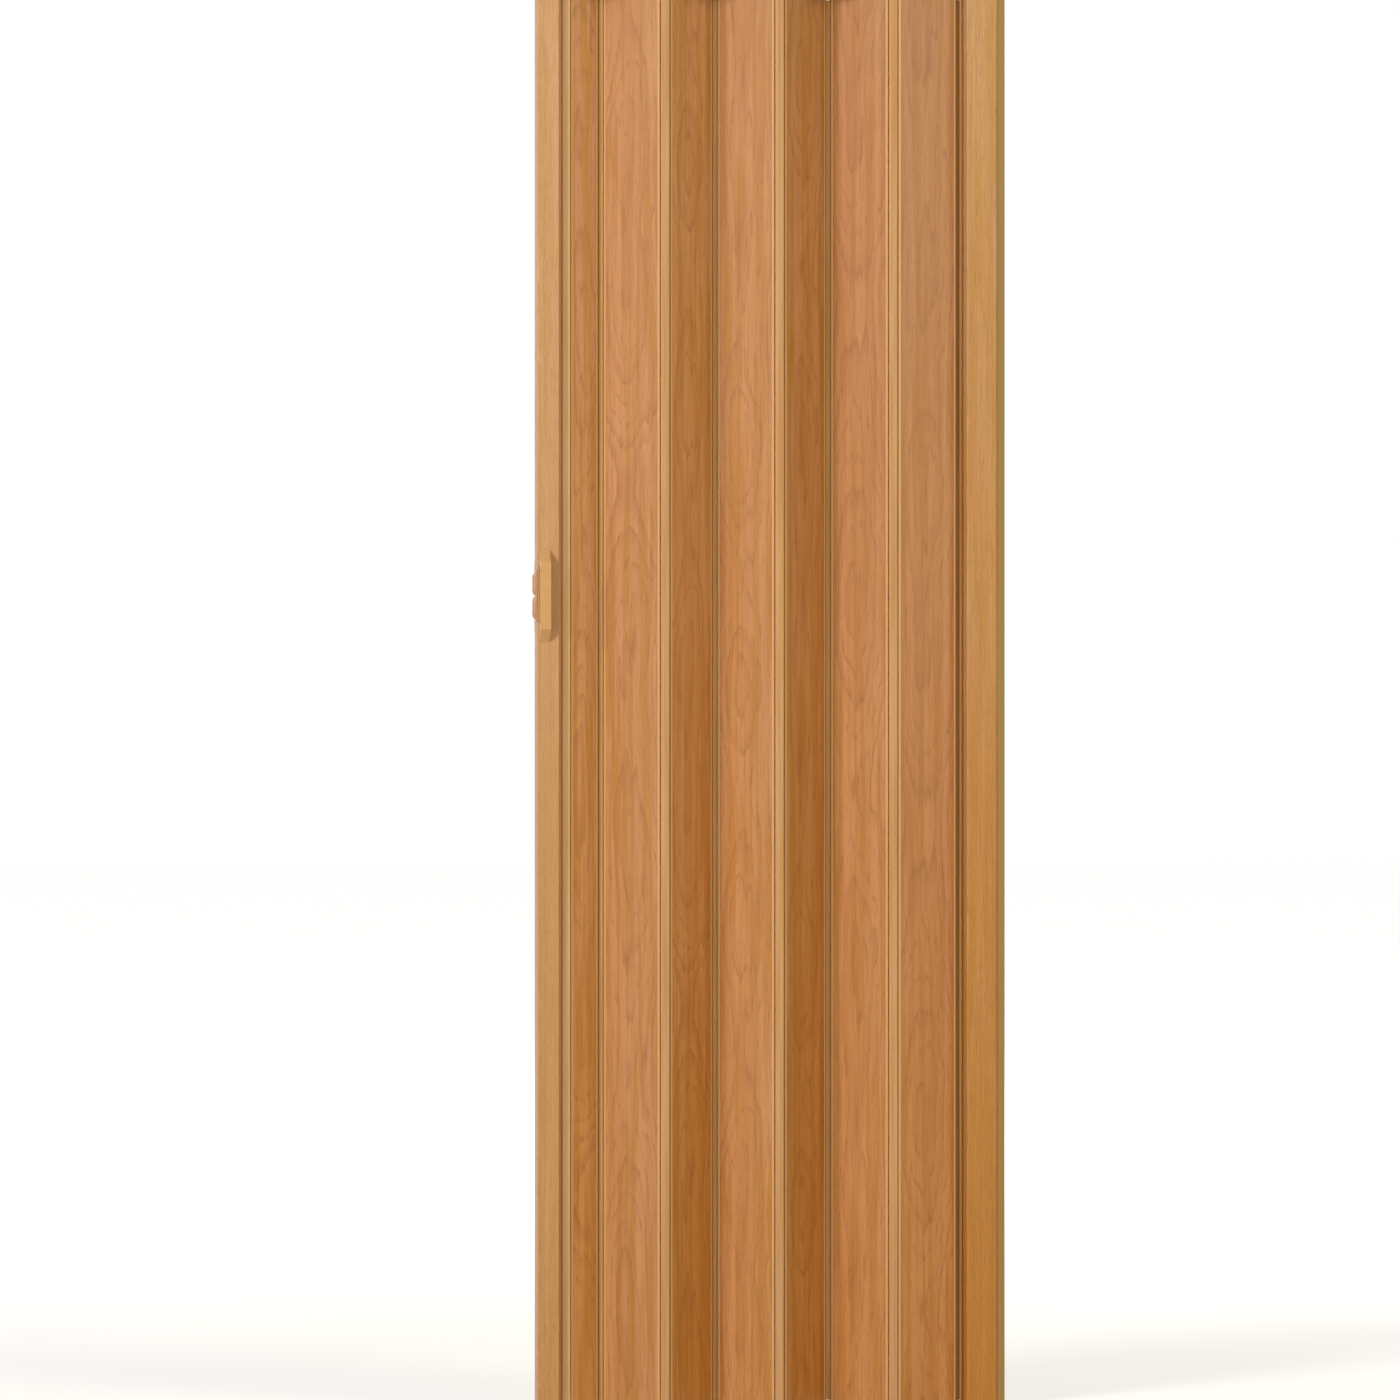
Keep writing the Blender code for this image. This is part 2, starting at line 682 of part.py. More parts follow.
def build_handle(name, side, outer, frame, materials):
    """One pull handle, bored for the two screws that clamp the pair through the post."""
    middle = handle_x(outer)
    left, right = middle - HANDLE_WIDTH / 2, middle + HANDLE_WIDTH / 2
    mesh = extrude_profile(name, [handle_outline(side)], left, right, along_x)
    handle = add_object(name, mesh, materials["handle_plastic"], parent=frame)
    bevel = handle.modifiers.new("soft_edges", "BEVEL")
    bevel.width = HANDLE_BEVEL
    bevel.segments = 2
    bevel.limit_method = "ANGLE"
    face = POST_DEPTH / 2
    shank = SCREW_RADIUS + SCREW_PLAY
    for number, end in enumerate((-1, 1), 1):
        spot = (middle, 0.0, HANDLE_Z + end * SCREW_SPACING / 2)
        if side < 0:
            hole = straight_hole(shank, face - CUT_OVERRUN, face + SEAT_GAP + SCREW_BITE + SCREW_PLAY)
        else:
            seat = face + SEAT_GAP + SCREW_SEAT
            head = SCREW_HEAD_RADIUS + SCREW_PLAY
            far = seat + HANDLE_STANDOFF
            hole = [(0.0, face - CUT_OVERRUN), (shank, face - CUT_OVERRUN), (shank, seat)]
            hole += [(head, seat), (head, far), (0.0, far)]
        cutter = add_cutter(f"{name}_hole_{number}", hole, spot, (0.0, side, 0.0), frame)
        boolean(handle, cutter, "DIFFERENCE")


def build_handle_screw(word, side, outer, frame, materials):
    """A long pan-head screw, put in from the back handle to draw the two handles together."""
    face = POST_DEPTH / 2
    seat = face + SEAT_GAP + SCREW_SEAT + SEAT_GAP
    tip = -face - SEAT_GAP - SCREW_BITE
    profile = [
        (0.0, tip),
        (SCREW_RADIUS / 2, tip),
        (SCREW_RADIUS, tip + SCREW_RADIUS / 2),
        (SCREW_RADIUS, seat),
        (SCREW_HEAD_RADIUS, seat),
        (SCREW_HEAD_RADIUS, seat + SCREW_HEAD_HEIGHT / 2),
        (SCREW_HEAD_RADIUS / 2, seat + SCREW_HEAD_HEIGHT),
        (0.0, seat + SCREW_HEAD_HEIGHT),
    ]
    name = f"handle_screw_{word}"
    bm = bmesh.new()
    add_turned(bm, profile, SCREW_SIDES)
    bmesh.ops.rotate(bm, verts=bm.verts, matrix=Matrix.Rotation(-math.pi / 2, 3, "X"))
    place = (handle_x(outer), 0.0, HANDLE_Z + side * SCREW_SPACING / 2)
    add_object(name, mesh_from(bm, name), materials["zinc_steel"], place, parent=frame)


def build_lead_glider(frame, materials):
    """The slider, stem, cap plate and plug that carry the lead post."""
    middle = lead_post_middle() - HINGE_SPACING
    half_x = LEAD_POST_FACE / 2
    half_y = POST_DEPTH / 2
    plug_x = half_x - POST_WALL - SEAT_GAP
    plug_y = half_y - POST_WALL - SEAT_GAP
    plate_low = LEAF_TOP_Z + SEAT_GAP
    disc_low = LIP_TOP_Z + SEAT_GAP
    plate = [rectangle(-half_x, half_x, -half_y, half_y)]
    mesh = extrude_profile("lead_glider", plate, plate_low, plate_low + CAP_PLATE)
    place = (middle, 0.0, 0.0)
    glider = add_object("lead_glider", mesh, materials["glider_nylon"], place, parent=frame)
    plug_low = (-plug_x, -plug_y, LEAF_TOP_Z - CAP_PLUG_DEPTH)
    plug_high = (plug_x, plug_y, plate_low + CAP_PLATE / 2)
    slider_low = (-SLIDER_LENGTH / 2, -DISC_RADIUS, disc_low)
    slider_high = (SLIDER_LENGTH / 2, DISC_RADIUS, disc_low + DISC_THICKNESS)
    stem = straight_hole(STEM_RADIUS, plate_low + CAP_PLATE / 2, disc_low + DISC_THICKNESS / 2)
    boolean(glider, add_box_cutter("lead_plug", plug_low, plug_high, glider), "UNION")
    boolean(glider, add_cutter("lead_stem", stem, (0.0, 0.0, 0.0), (0.0, 0.0, 1.0), glider), "UNION")
    boolean(glider, add_box_cutter("lead_slider", slider_low, slider_high, glider), "UNION")


def build_foot_cap(frame, materials):
    """The cap that closes the lead post's lower end."""
    middle = lead_post_middle() - HINGE_SPACING
    half_x = LEAD_POST_FACE / 2
    half_y = POST_DEPTH / 2
    plug_x = half_x - POST_WALL - SEAT_GAP
    plug_y = half_y - POST_WALL - SEAT_GAP
    plate_high = LEAF_BOTTOM_Z - SEAT_GAP
    plate = [rectangle(-half_x, half_x, -half_y, half_y)]
    mesh = extrude_profile("lead_foot_cap", plate, plate_high - CAP_PLATE, plate_high)
    place = (middle, 0.0, 0.0)
    cap = add_object("lead_foot_cap", mesh, materials["handle_plastic"], place, parent=frame)
    low = (-plug_x, -plug_y, plate_high - CAP_PLATE / 2)
    high = (plug_x, plug_y, LEAF_BOTTOM_Z + CAP_PLUG_DEPTH)
    boolean(cap, add_box_cutter("foot_plug", low, high, cap), "UNION")


def build_catch_case(outer, frame, materials):
    """The catch's case: a flange on the post's outer face and a body with two chambers behind it."""
    flange_high = outer - SEAT_GAP
    flange_low = flange_high - CATCH_FLANGE_THICKNESS
    body_end = flange_high + CATCH_BODY_DEPTH
    half_width = CATCH_BODY_WIDTH / 2
    half_length = CATCH_BODY_LENGTH / 2
    flange = [
        rectangle(
            -CATCH_FLANGE_WIDTH / 2,
            CATCH_FLANGE_WIDTH / 2,
            HANDLE_Z - CATCH_FLANGE_LENGTH / 2,
            HANDLE_Z + CATCH_FLANGE_LENGTH / 2,
        )
    ]
    mesh = extrude_profile("catch_case", flange, flange_low, flange_high, along_x)
    case = add_object("catch_case", mesh, materials["handle_plastic"], parent=frame)
    low = (flange_low + CATCH_FLANGE_THICKNESS / 2, -half_width, HANDLE_Z - half_length)
    high = (body_end, half_width, HANDLE_Z + half_length)
    boolean(case, add_box_cutter("catch_body", low, high, frame), "UNION")
    window_width = NOSE_WIDTH / 2 + SEAT_GAP
    window_length = NOSE_LENGTH / 2 + SEAT_GAP
    chamber_width = window_width + NOSE_SHOULDER_OVERLAP
    chamber_length = window_length + NOSE_SHOULDER_OVERLAP
    for word, side in (("upper", 1), ("lower", -1)):
        centre = HANDLE_Z + side * NOSE_CENTRE
        low = (flange_high, -chamber_width, centre - chamber_length)
        high = (body_end + CUT_OVERRUN, chamber_width, centre + chamber_length)
        boolean(case, add_box_cutter(f"catch_chamber_{word}", low, high, frame), "DIFFERENCE")
        low = (flange_low - CUT_OVERRUN, -window_width, centre - window_length)
        high = (flange_high + CUT_OVERRUN, window_width, centre + window_length)
        boolean(case, add_box_cutter(f"catch_window_{word}", low, high, frame), "DIFFERENCE")
    back_low = body_end + SEAT_GAP
    section = [rectangle(-half_width, half_width, HANDLE_Z - half_length, HANDLE_Z + half_length)]
    mesh = extrude_profile("catch_back_plate", section, back_low, back_low + CATCH_PLATE, along_x)
    add_object("catch_back_plate", mesh, materials["handle_plastic"], parent=frame)
    return flange_low, flange_high, body_end


def nose_section(proud):
    """A nose's plan (x, y) about its flange line: a round front that stands proud to the left."""
    half = NOSE_WIDTH / 2
    radius = (half * half + proud * proud) / 2 / proud
    reach = math.asin(min(1.0, half / radius))
    if proud > half:
        reach = math.pi - reach
    middle = (radius - proud, 0.0)
    steps = 2 * NOSE_STATIONS
    points = []
    for step in range(steps + 1):
        angle = math.pi + reach - 2 * reach * step / steps
        points.append((middle[0] + radius * math.cos(angle), middle[1] + radius * math.sin(angle)))
    return points


def build_nose(word, side, flange_low, flange_high, frame, materials):
    """One sprung nose of the catch: a rounded lobe with a shoulder that keeps it in its chamber."""
    name = f"catch_nose_{word}"
    centre = HANDLE_Z + side * NOSE_CENTRE
    half_length = NOSE_LENGTH / 2
    shoulder_low = flange_high + SEAT_GAP
    stations = []
    for step in range(NOSE_STATIONS + 1):
        angle = math.pi / 2 * step / NOSE_STATIONS
        rise = NOSE_ROUNDING * (1 - math.cos(angle))
        proud = NOSE_END_PROUD + (NOSE_PROUD - NOSE_END_PROUD) * math.sin(angle)
        stations.append((-half_length + rise, proud))
    stations += [(-height, proud) for height, proud in reversed(stations)]
    bm = bmesh.new()
    rings = []
    for height, proud in stations:
        plan = [(x + flange_low, y) for x, y in nose_section(proud)]
        plan += [(shoulder_low, NOSE_WIDTH / 2 * math.copysign(1, plan[-1][1]))]
        plan += [(shoulder_low, NOSE_WIDTH / 2 * math.copysign(1, plan[0][1]))]
        rings.append([bm.verts.new((x, y, centre + height)) for x, y in plan])
    for lower, upper in zip(rings, rings[1:]):
        for index, vert in enumerate(lower):
            after = (index + 1) % len(lower)
            bm.faces.new((vert, lower[after], upper[after], upper[index]))
    bm.faces.new(rings[0])
    bm.faces.new(list(reversed(rings[-1])))
    nose = add_object(name, mesh_from(bm, name), materials["handle_plastic"], parent=frame)
    wide = NOSE_WIDTH / 2 + NOSE_SHOULDER_OVERLAP
    long = half_length + NOSE_SHOULDER_OVERLAP
    low = (shoulder_low, -wide, centre - long)
    high = (shoulder_low + NOSE_SHOULDER, wide, centre + long)
    boolean(nose, add_box_cutter(f"nose_shoulder_{word}", low, high, frame), "UNION")
    return shoulder_low + NOSE_SHOULDER, centre


def build_spring(word, start, end, height, frame, materials):
    """A coil spring behind a nose, wound along X between two seats."""
    count = SPRING_TURNS * SPRING_POINTS_PER_TURN
    low = start + SEAT_GAP + SPRING_WIRE
    high = end - SEAT_GAP - SPRING_WIRE
    curve = bpy.data.curves.new(f"catch_spring_{word}", "CURVE")
    curve.dimensions = "3D"
    curve.bevel_depth = SPRING_WIRE
    curve.bevel_resolution = 1
    curve.use_fill_caps = True
    spline = curve.splines.new("POLY")
    spline.points.add(count)
    for index, point in enumerate(spline.points):
        angle = 2 * math.pi * index / SPRING_POINTS_PER_TURN
        across = SPRING_RADIUS * math.cos(angle)
        up = height + SPRING_RADIUS * math.sin(angle)
        point.co = (low + (high - low) * index / count, across, up, 1.0)
    spring = bpy.data.objects.new(f"catch_spring_{word}", curve)
    spring.parent = frame
    curve.materials.append(materials["zinc_steel"])
    bpy.context.collection.objects.link(spring)


def build_lead(axis, materials):
    """Everything that moves with the lead post, whose hinge axis is the right side of strip 1."""
    frame = add_empty("lead_frame", (axis[0], axis[1], 0.0))
    build_strip(1, -1, (0.0, 0.0), materials, frame)
    outer = build_lead_post(frame, materials)
    build_lead_glider(frame, materials)
    build_foot_cap(frame, materials)
    build_handle("front_handle", -1, outer, frame, materials)
    build_handle("back_handle", 1, outer, frame, materials)
    flange_low, flange_high, body_end = build_catch_case(outer, frame, materials)
    for word, side in (("upper", 1), ("lower", -1)):
        build_handle_screw(word, side, outer, frame, materials)
        seat, height = build_nose(word, side, flange_low, flange_high, frame, materials)
        build_spring(word, seat, body_end, height, frame, materials)


def main():
    """Builds the whole door at rest."""
    clear_scene()
    materials = make_materials()
    build_track(materials)
    build_jamb(materials)
    build_fixed_post(materials)
    lead_axis = build_leaf(materials)
    build_lead(lead_axis, materials)


if __name__ == "__main__":
    main()
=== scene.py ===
"""Folding door: the looks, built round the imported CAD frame.

Every place is in metres in the row frame of the CAD: +Z up, the front towards -Y, and the origin
in the middle of the track's top face. The leaf's panels, strips and posts keep their CAD shapes and
get procedural finishes; the handles, the handle screws and the catch's noses and springs are finer
pieces that replace their CAD nodes. Patterns are worked out in millimetres in each piece's axes.
"""

import json
import logging
import math
from dataclasses import dataclass
from enum import Enum

import bmesh
import bpy
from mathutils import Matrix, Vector

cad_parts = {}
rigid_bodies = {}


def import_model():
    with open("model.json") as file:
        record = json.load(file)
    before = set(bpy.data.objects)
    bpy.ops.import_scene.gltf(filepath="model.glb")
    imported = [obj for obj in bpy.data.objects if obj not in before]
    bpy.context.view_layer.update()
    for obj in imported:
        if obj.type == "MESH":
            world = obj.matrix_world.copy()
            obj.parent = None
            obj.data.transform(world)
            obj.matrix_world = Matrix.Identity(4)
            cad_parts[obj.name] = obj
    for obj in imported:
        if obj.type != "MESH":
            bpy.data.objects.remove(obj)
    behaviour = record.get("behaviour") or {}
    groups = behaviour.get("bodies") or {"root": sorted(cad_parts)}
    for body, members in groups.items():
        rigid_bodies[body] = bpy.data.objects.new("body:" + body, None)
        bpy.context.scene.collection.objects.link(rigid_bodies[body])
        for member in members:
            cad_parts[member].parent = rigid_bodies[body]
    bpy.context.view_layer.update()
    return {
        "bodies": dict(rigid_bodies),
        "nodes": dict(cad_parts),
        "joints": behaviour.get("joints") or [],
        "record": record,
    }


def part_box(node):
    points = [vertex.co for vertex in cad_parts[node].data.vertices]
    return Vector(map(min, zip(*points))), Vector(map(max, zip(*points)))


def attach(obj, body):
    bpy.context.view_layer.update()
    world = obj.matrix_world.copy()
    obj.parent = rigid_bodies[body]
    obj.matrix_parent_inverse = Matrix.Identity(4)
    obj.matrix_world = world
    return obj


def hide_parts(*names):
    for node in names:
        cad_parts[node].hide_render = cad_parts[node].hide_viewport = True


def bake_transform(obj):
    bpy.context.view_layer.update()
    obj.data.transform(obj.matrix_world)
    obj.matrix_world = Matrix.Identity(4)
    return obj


LOG = logging.getLogger("folding_door")
MILLIMETRE = 0.001
WHITE = "#FFFFFF"

# Edges that turn by fewer degrees than this are shaded smooth
SMOOTH_ANGLE = 38.0

# How far a cutting tool stands past the face that it cuts, in metres
OVERRUN = 0.001

# Sockets of the colour Mix node, which share their names with those of its other kinds
FACTOR, FIRST, SECOND, MIXED = 0, 6, 7, 2

Outputs = bpy.types.bpy_prop_collection
Socket = bpy.types.NodeSocket
Tree = bpy.types.NodeTree
Colour = tuple[float, float, float, float]
Triple = tuple[float, float, float]


def linear(colour: str) -> Colour:
    """Turns an sRGB hex colour into linear light.

    Args:
        colour: six hex digits after a #.

    Returns:
        Linear red, green and blue, and an alpha of 1.
    """
    values = [int(colour[start:start + 2], 16) / 255 for start in (1, 3, 5)]
    lit = [v / 12.92 if v <= 0.04045 else ((v + 0.055) / 1.055) ** 2.4 for v in values]
    return (*lit, 1.0)


def add_node(tree: Tree, kind: str, inputs: dict | None = None, **settings) -> Outputs:
    """Adds one shader node with its settings and links.

    Args:
        tree: the node tree to add it to.
        kind: the node's type, less the "ShaderNode" in front.
        inputs: for each input's name or number, a value or the output that feeds it.
        settings: the node's own properties.

    Returns:
        The node's outputs.
    """
    node = tree.nodes.new("ShaderNode" + kind)
    for name, value in settings.items():
        setattr(node, name, value)
    for key, value in (inputs or {}).items():
        if isinstance(value, Socket):
            tree.links.new(value, node.inputs[key])
        else:
            node.inputs[key].default_value = value
    return node.outputs


def empty_tree(owner: bpy.types.Material | bpy.types.World) -> Tree:
    """Turns on the nodes of a material or world and takes the ready-made ones out.

    Args:
        owner: the material or world.

    Returns:
        Its empty node tree.
    """
    owner.use_nodes = True
    owner.node_tree.nodes.clear()
    return owner.node_tree


class Figure(Enum):
    """How the printed beech was cut: which way its growth rings show."""

    CATHEDRAL = "flat cut, with nested arches up the middle"
    STRAIGHT = "quarter cut, with lines that run straight up"


@dataclass(frozen=True)
class Axes:
    """A piece's own axes at rest, in which its pattern lies.

    x and y are the place of the origin in metres, turn is about Z in radians, and shift slides the
    pattern up the piece, in metres.
    """

    x: float = 0.0
    y: float = 0.0
    turn: float = 0.0
    shift: float = 0.0

    def millimetres(self, tree: Tree) -> Socket:
        """Adds the nodes that give a point's place in these axes.

        Args:
            tree: the node tree to add them to.

        Returns:
            The place in millimetres: along the piece, through it and up it.
        """
        mapping = {
            "Vector": add_node(tree, "TexCoord")["Object"],
            "Location": (self.x, self.y, self.shift),
            "Rotation": (0.0, 0.0, self.turn),
            "Scale": (MILLIMETRE, MILLIMETRE, MILLIMETRE),
        }
        return add_node(tree, "Mapping", mapping, vector_type="TEXTURE")["Vector"]


@dataclass(frozen=True)
class Pattern:
    """A noise of a real size.

    size is how far it runs along each axis in millimetres, detail is how many finer layers it has,
    and low and high are the noise values that become 0 and 1.
    """

    size: Triple
    detail: float
    low: float = 0.0
    high: float = 1.0

    def value(self, tree: Tree, place: Socket) -> Socket:
        """Adds the nodes of the noise.

        Args:
            tree: the node tree to add them to.
            place: the point in millimetres.

        Returns:
            A value from 0 to 1.
        """
        scale = {0: place, 1: tuple(1 / size for size in self.size)}
        drawn = add_node(tree, "VectorMath", scale, operation="MULTIPLY")[0]
        noise = {"Vector": drawn, "Scale": 1.0, "Detail": self.detail}
        value = add_node(tree, "TexNoise", noise)[0]
        return add_node(tree, "MapRange", {0: value, 1: self.low, 2: self.high})[0]


@dataclass(frozen=True)
class Finish:
    """What all finishes share: a real material and how its surface was made."""

    name: str
    colour: str
    roughness: float

    def material(self) -> bpy.types.Material:
        """Makes the material from this finish's own surface, once for each name.

        Returns:
            The material.
        """
        material = bpy.data.materials.get(self.name)
        if material is None:
            material = bpy.data.materials.new(self.name)
            tree = empty_tree(material)
            surface = add_node(tree, "BsdfPrincipled", self.surface(tree))
            add_node(tree, "OutputMaterial", {"Surface": surface["BSDF"]})
        return material

    def surface(self, tree: Tree) -> dict:
        """Gives the shader's inputs.

        Args:
            tree: the node tree to add pattern nodes to.

        Returns:
            The Principled shader's inputs by name.
        """
        raise NotImplementedError


@dataclass(frozen=True)
class Log:
    """The log that a flat-cut print seems to be sawn from, in millimetres.

    The heart wanders by 34 mm across the panel and lies some 20 to 70 mm behind its face, so that a
    ring every 7 mm gives arches 10 mm apart across and 50 mm apart up the panel.
    """

    wander: float = 34.0
    wander_length: float = 310.0
    dip: float = 125.0
    dip_length: float = 560.0
    dip_start: float = -22.0
    sway_across: float = 14.0
    sway_through: float = 8.0

    def radius(self, tree: Tree, place: Outputs, middle: float, sway: Socket) -> Socket:
        """Adds the nodes that give a point's distance from the heart.

        Args:
            tree: the node tree to add them to.
            place: the point's places along, through and up the panel.
            middle: the middle of the panel, from its own axes.
            sway: a noise from 0 to 1 that bends the rings.

        Returns:
            The distance in millimetres.
        """
        across, _, up = place
        wave = {"W": up, "Scale": 1 / self.wander_length, "Detail": 1.0}
        wander = add_node(tree, "TexNoise", wave, noise_dimensions="1D")[0]
        heart = {0: wander, 1: self.wander, 2: middle - self.wander / 2}
        heart = add_node(tree, "Math", heart, operation="MULTIPLY_ADD")[0]
        aside = add_node(tree, "Math", {0: across, 1: heart}, operation="SUBTRACT")[0]
        aside = {0: sway, 1: self.sway_across, 2: aside}
        aside = add_node(tree, "Math", aside, operation="MULTIPLY_ADD")[0]
        wave = {"W": up, "Scale": 1 / self.dip_length, "Detail": 1.0}
        dip = add_node(tree, "TexNoise", wave, noise_dimensions="1D")[0]
        depth = {0: dip, 1: self.dip, 2: self.dip_start}
        depth = add_node(tree, "Math", depth, operation="MULTIPLY_ADD")[0]
        depth = {0: sway, 1: self.sway_through, 2: depth}
        depth = add_node(tree, "Math", depth, operation="MULTIPLY_ADD")[0]
        spot = add_node(tree, "CombineXYZ", {0: aside, 1: depth})[0]
        return add_node(tree, "VectorMath", {0: spot}, operation="LENGTH")["Value"]


@dataclass(frozen=True)
class PrintedBeech(Finish):
    """Extruded rigid PVC under a printed beech foil with a matt lacquer.

    The eye gets soft brown rings on a warm ground, bands that drift between pink and olive, short
    dark pores, and a low satin sheen. Beyond print_half the bare PVC of the edge ribs and beads
    shows: plain, paler and a little smoother. The print's colour is multiplied by
    head_painted_light at the piece's head and by foot_painted_light at its foot. This is painted
    light and shade, standing in for how the light falls on the piece from foot to head.

    Lengths are in millimetres but for foot_and_head. soft_start, line_start and ring_peak are
    shares of the way from one ring to the next. ring_change is how fast the rings' strength
    changes, and ring_contrast is the noise values where it is least and full. The depths are how
    far a layer covers what lies under it.
    """

    axes: Axes = Axes()
    figure: Figure = Figure.CATHEDRAL
    log: Log = Log()
    middle: float = 0.0
    print_half: float = 1000.0
    print_blur: float = 0.4
    blush: str = "#C68C55"
    amber: str = "#B4782F"
    ring: str = "#9A5C28"
    pore: str = "#84501F"
    bare: str = "#D09E64"
    bare_gloss: float = 0.07
    # Painted light and shade: factors on the print's colour at the head and at the foot
    head_painted_light: Triple = (1.0, 1.0, 1.0)
    foot_painted_light: Triple = (1.0, 1.0, 1.0)
    foot_and_head: tuple[float, float] = (-2.044, -0.038)
    ring_spacing: float = 7.0
    soft_start: float = 0.05
    line_start: float = 0.66
    ring_peak: float = 0.86
    faintest_ring: float = 0.1
    ring_change: float = 0.43
    ring_contrast: tuple[float, float] = (0.34, 0.66)
    sway: Pattern = Pattern((15.0, 15.0, 130.0), 1.0)
    straight_sway: float = 4.0
    fray: Pattern = Pattern((3.2, 3.2, 26.0), 2.0)
    fray_reach: float = 3.4
    patches: Pattern = Pattern((7.0, 7.0, 34.0), 2.0, 0.44, 0.62)
    blush_bands: Pattern = Pattern((14.0, 14.0, 500.0), 1.5, 0.36, 0.64)
    amber_bands: Pattern = Pattern((9.0, 9.0, 260.0), 2.0, 0.42, 0.62)
    fibres: Pattern = Pattern((1.3, 1.3, 44.0), 2.0, 0.48, 0.74)
    # Pores are really 0.1 mm wide, and are drawn 0.9 mm wide so that they show
    pores: Pattern = Pattern((0.9, 0.9, 16.0), 1.0, 0.60, 0.76)
    amber_depth: float = 0.85
    ring_depth: float = 0.33
    line_depth: float = 1.4
    fibre_depth: float = 0.38
    pore_depth: float = 0.42
    pore_relief: float = 0.03
    line_relief: float = 0.015

    def rings(self, tree: Tree, place: Socket) -> list[Socket]:
        """Adds the growth rings: a log's rings cut by the panel's face, or straight lines.

        Args:
            tree: the node tree to add to.
            place: the point in millimetres.

        Returns:
            How dark the soft band and the thin line of a ring are, each 0 to 1.
        """
        sway = self.sway.value(tree, place)
        apart = add_node(tree, "SeparateXYZ", {0: place})
        if self.figure is Figure.CATHEDRAL:
            radius = self.log.radius(tree, apart, self.middle, sway)
        else:
            radius = add_node(tree, "Math", {0: apart[0], 1: apart[1]}, operation="ADD")[0]
            radius = {0: sway, 1: self.straight_sway, 2: radius}
            radius = add_node(tree, "Math", radius, operation="MULTIPLY_ADD")[0]
        radius = {0: self.fray.value(tree, place), 1: self.fray_reach, 2: radius}
        radius = add_node(tree, "Math", radius, operation="MULTIPLY_ADD")[0]
        count = add_node(tree, "Math", {0: radius, 1: self.ring_spacing}, operation="DIVIDE")[0]
        share = add_node(tree, "Math", {0: count}, operation="FRACT")[0]
        after, soft, thin = (
            add_node(
                tree, "MapRange", {0: share, 1: start, 2: self.ring_peak},
                interpolation_type="SMOOTHSTEP",
            )[0]
            for start in (1.0, self.soft_start, self.line_start)
        )
        some = {"W": count, "Scale": self.ring_change, "Detail": 0.0}
        some = add_node(tree, "TexNoise", some, noise_dimensions="1D")[0]
        low, high = self.ring_contrast
        weight = {0: some, 1: low, 2: high, 3: self.faintest_ring, 4: 1.0}
        weight = add_node(tree, "MapRange", weight)[0]
        shades = []
        for shade, factor in ((soft, weight), (thin, self.patches.value(tree, place))):
            shade = add_node(tree, "Math", {0: shade, 1: after}, operation="MULTIPLY")[0]
            shade = add_node(tree, "Math", {0: shade, 1: factor}, operation="MULTIPLY")[0]
            shades.append(shade)
        return shades

    def painted_light_ramp(self, tree: Tree, up: Socket) -> Socket:
        """Adds the painted light and shade that scales the print's colour from foot to head.

        Args:
            tree: the node tree to add to.
            up: the point's place up the piece, in millimetres.

        Returns:
            What the print's colour is multiplied by.
        """
        foot, head = ((height - self.axes.shift) / MILLIMETRE for height in self.foot_and_head)
        share = add_node(tree, "MapRange", {0: up, 1: foot, 2: head})[0]
        mix = {FACTOR: share, FIRST: (*self.foot_painted_light, 1.0), SECOND: (*self.head_painted_light, 1.0)}
        return add_node(tree, "Mix", mix, data_type="RGBA")[MIXED]

    def surface(self, tree: Tree) -> dict:
        """Gives the shader's inputs.

        Args:
            tree: the node tree to add pattern nodes to.

        Returns:
            The Principled shader's inputs by name.
        """
        place = self.axes.millimetres(tree)
        soft, thin = self.rings(tree, place)
        pore = self.pores.value(tree, place)
        layers = (
            (self.blush_bands.value(tree, place), 1.0, self.blush),
            (self.amber_bands.value(tree, place), self.amber_depth, self.amber),
            (soft, self.ring_depth, self.ring),
            (thin, self.ring_depth * self.line_depth, self.ring),
            (self.fibres.value(tree, place), self.fibre_depth, self.ring),
            (pore, self.pore_depth, self.pore),
        )
        tone = linear(self.colour)
        for value, depth, colour in layers:
            amount = add_node(tree, "Math", {0: value, 1: depth}, operation="MULTIPLY")[0]
            mix = {FACTOR: amount, FIRST: tone, SECOND: linear(colour)}
            tone = add_node(tree, "Mix", mix, data_type="RGBA")[MIXED]
        across, _, up = add_node(tree, "SeparateXYZ", {0: place})
        # Painted light and shade: the print's colour scaled from foot to head
        painted_light_ramp = {0: tone, 1: self.painted_light_ramp(tree, up)}
        tone = add_node(tree, "VectorMath", painted_light_ramp, operation="MULTIPLY")[0]
        aside = add_node(tree, "Math", {0: across, 1: self.middle}, operation="SUBTRACT")[0]
        aside = add_node(tree, "Math", {0: aside}, operation="ABSOLUTE")[0]
        edge = {0: aside, 1: self.print_half, 2: self.print_half + self.print_blur}
        bare = add_node(tree, "MapRange", edge)[0]
        mix = {FACTOR: bare, FIRST: tone, SECOND: linear(self.bare)}
        tone = add_node(tree, "Mix", mix, data_type="RGBA")[MIXED]
        gloss = {0: bare, 3: self.roughness, 4: self.roughness - self.bare_gloss}
        relief = {0: pore, 1: -self.pore_relief, 2: 0.0}
        relief = add_node(tree, "Math", relief, operation="MULTIPLY_ADD")[0]
        relief = {0: thin, 1: -self.line_relief, 2: relief}
        relief = add_node(tree, "Math", relief, operation="MULTIPLY_ADD")[0]
        bump = {"Height": relief, "Distance": MILLIMETRE, "Strength": 1.0}
        return {
            "Base Color": tone,
            "Roughness": add_node(tree, "MapRange", gloss)[0],
            "Normal": add_node(tree, "Bump", bump)[0],
            "IOR": 1.54,
            "Specular IOR Level": 0.3,
        }


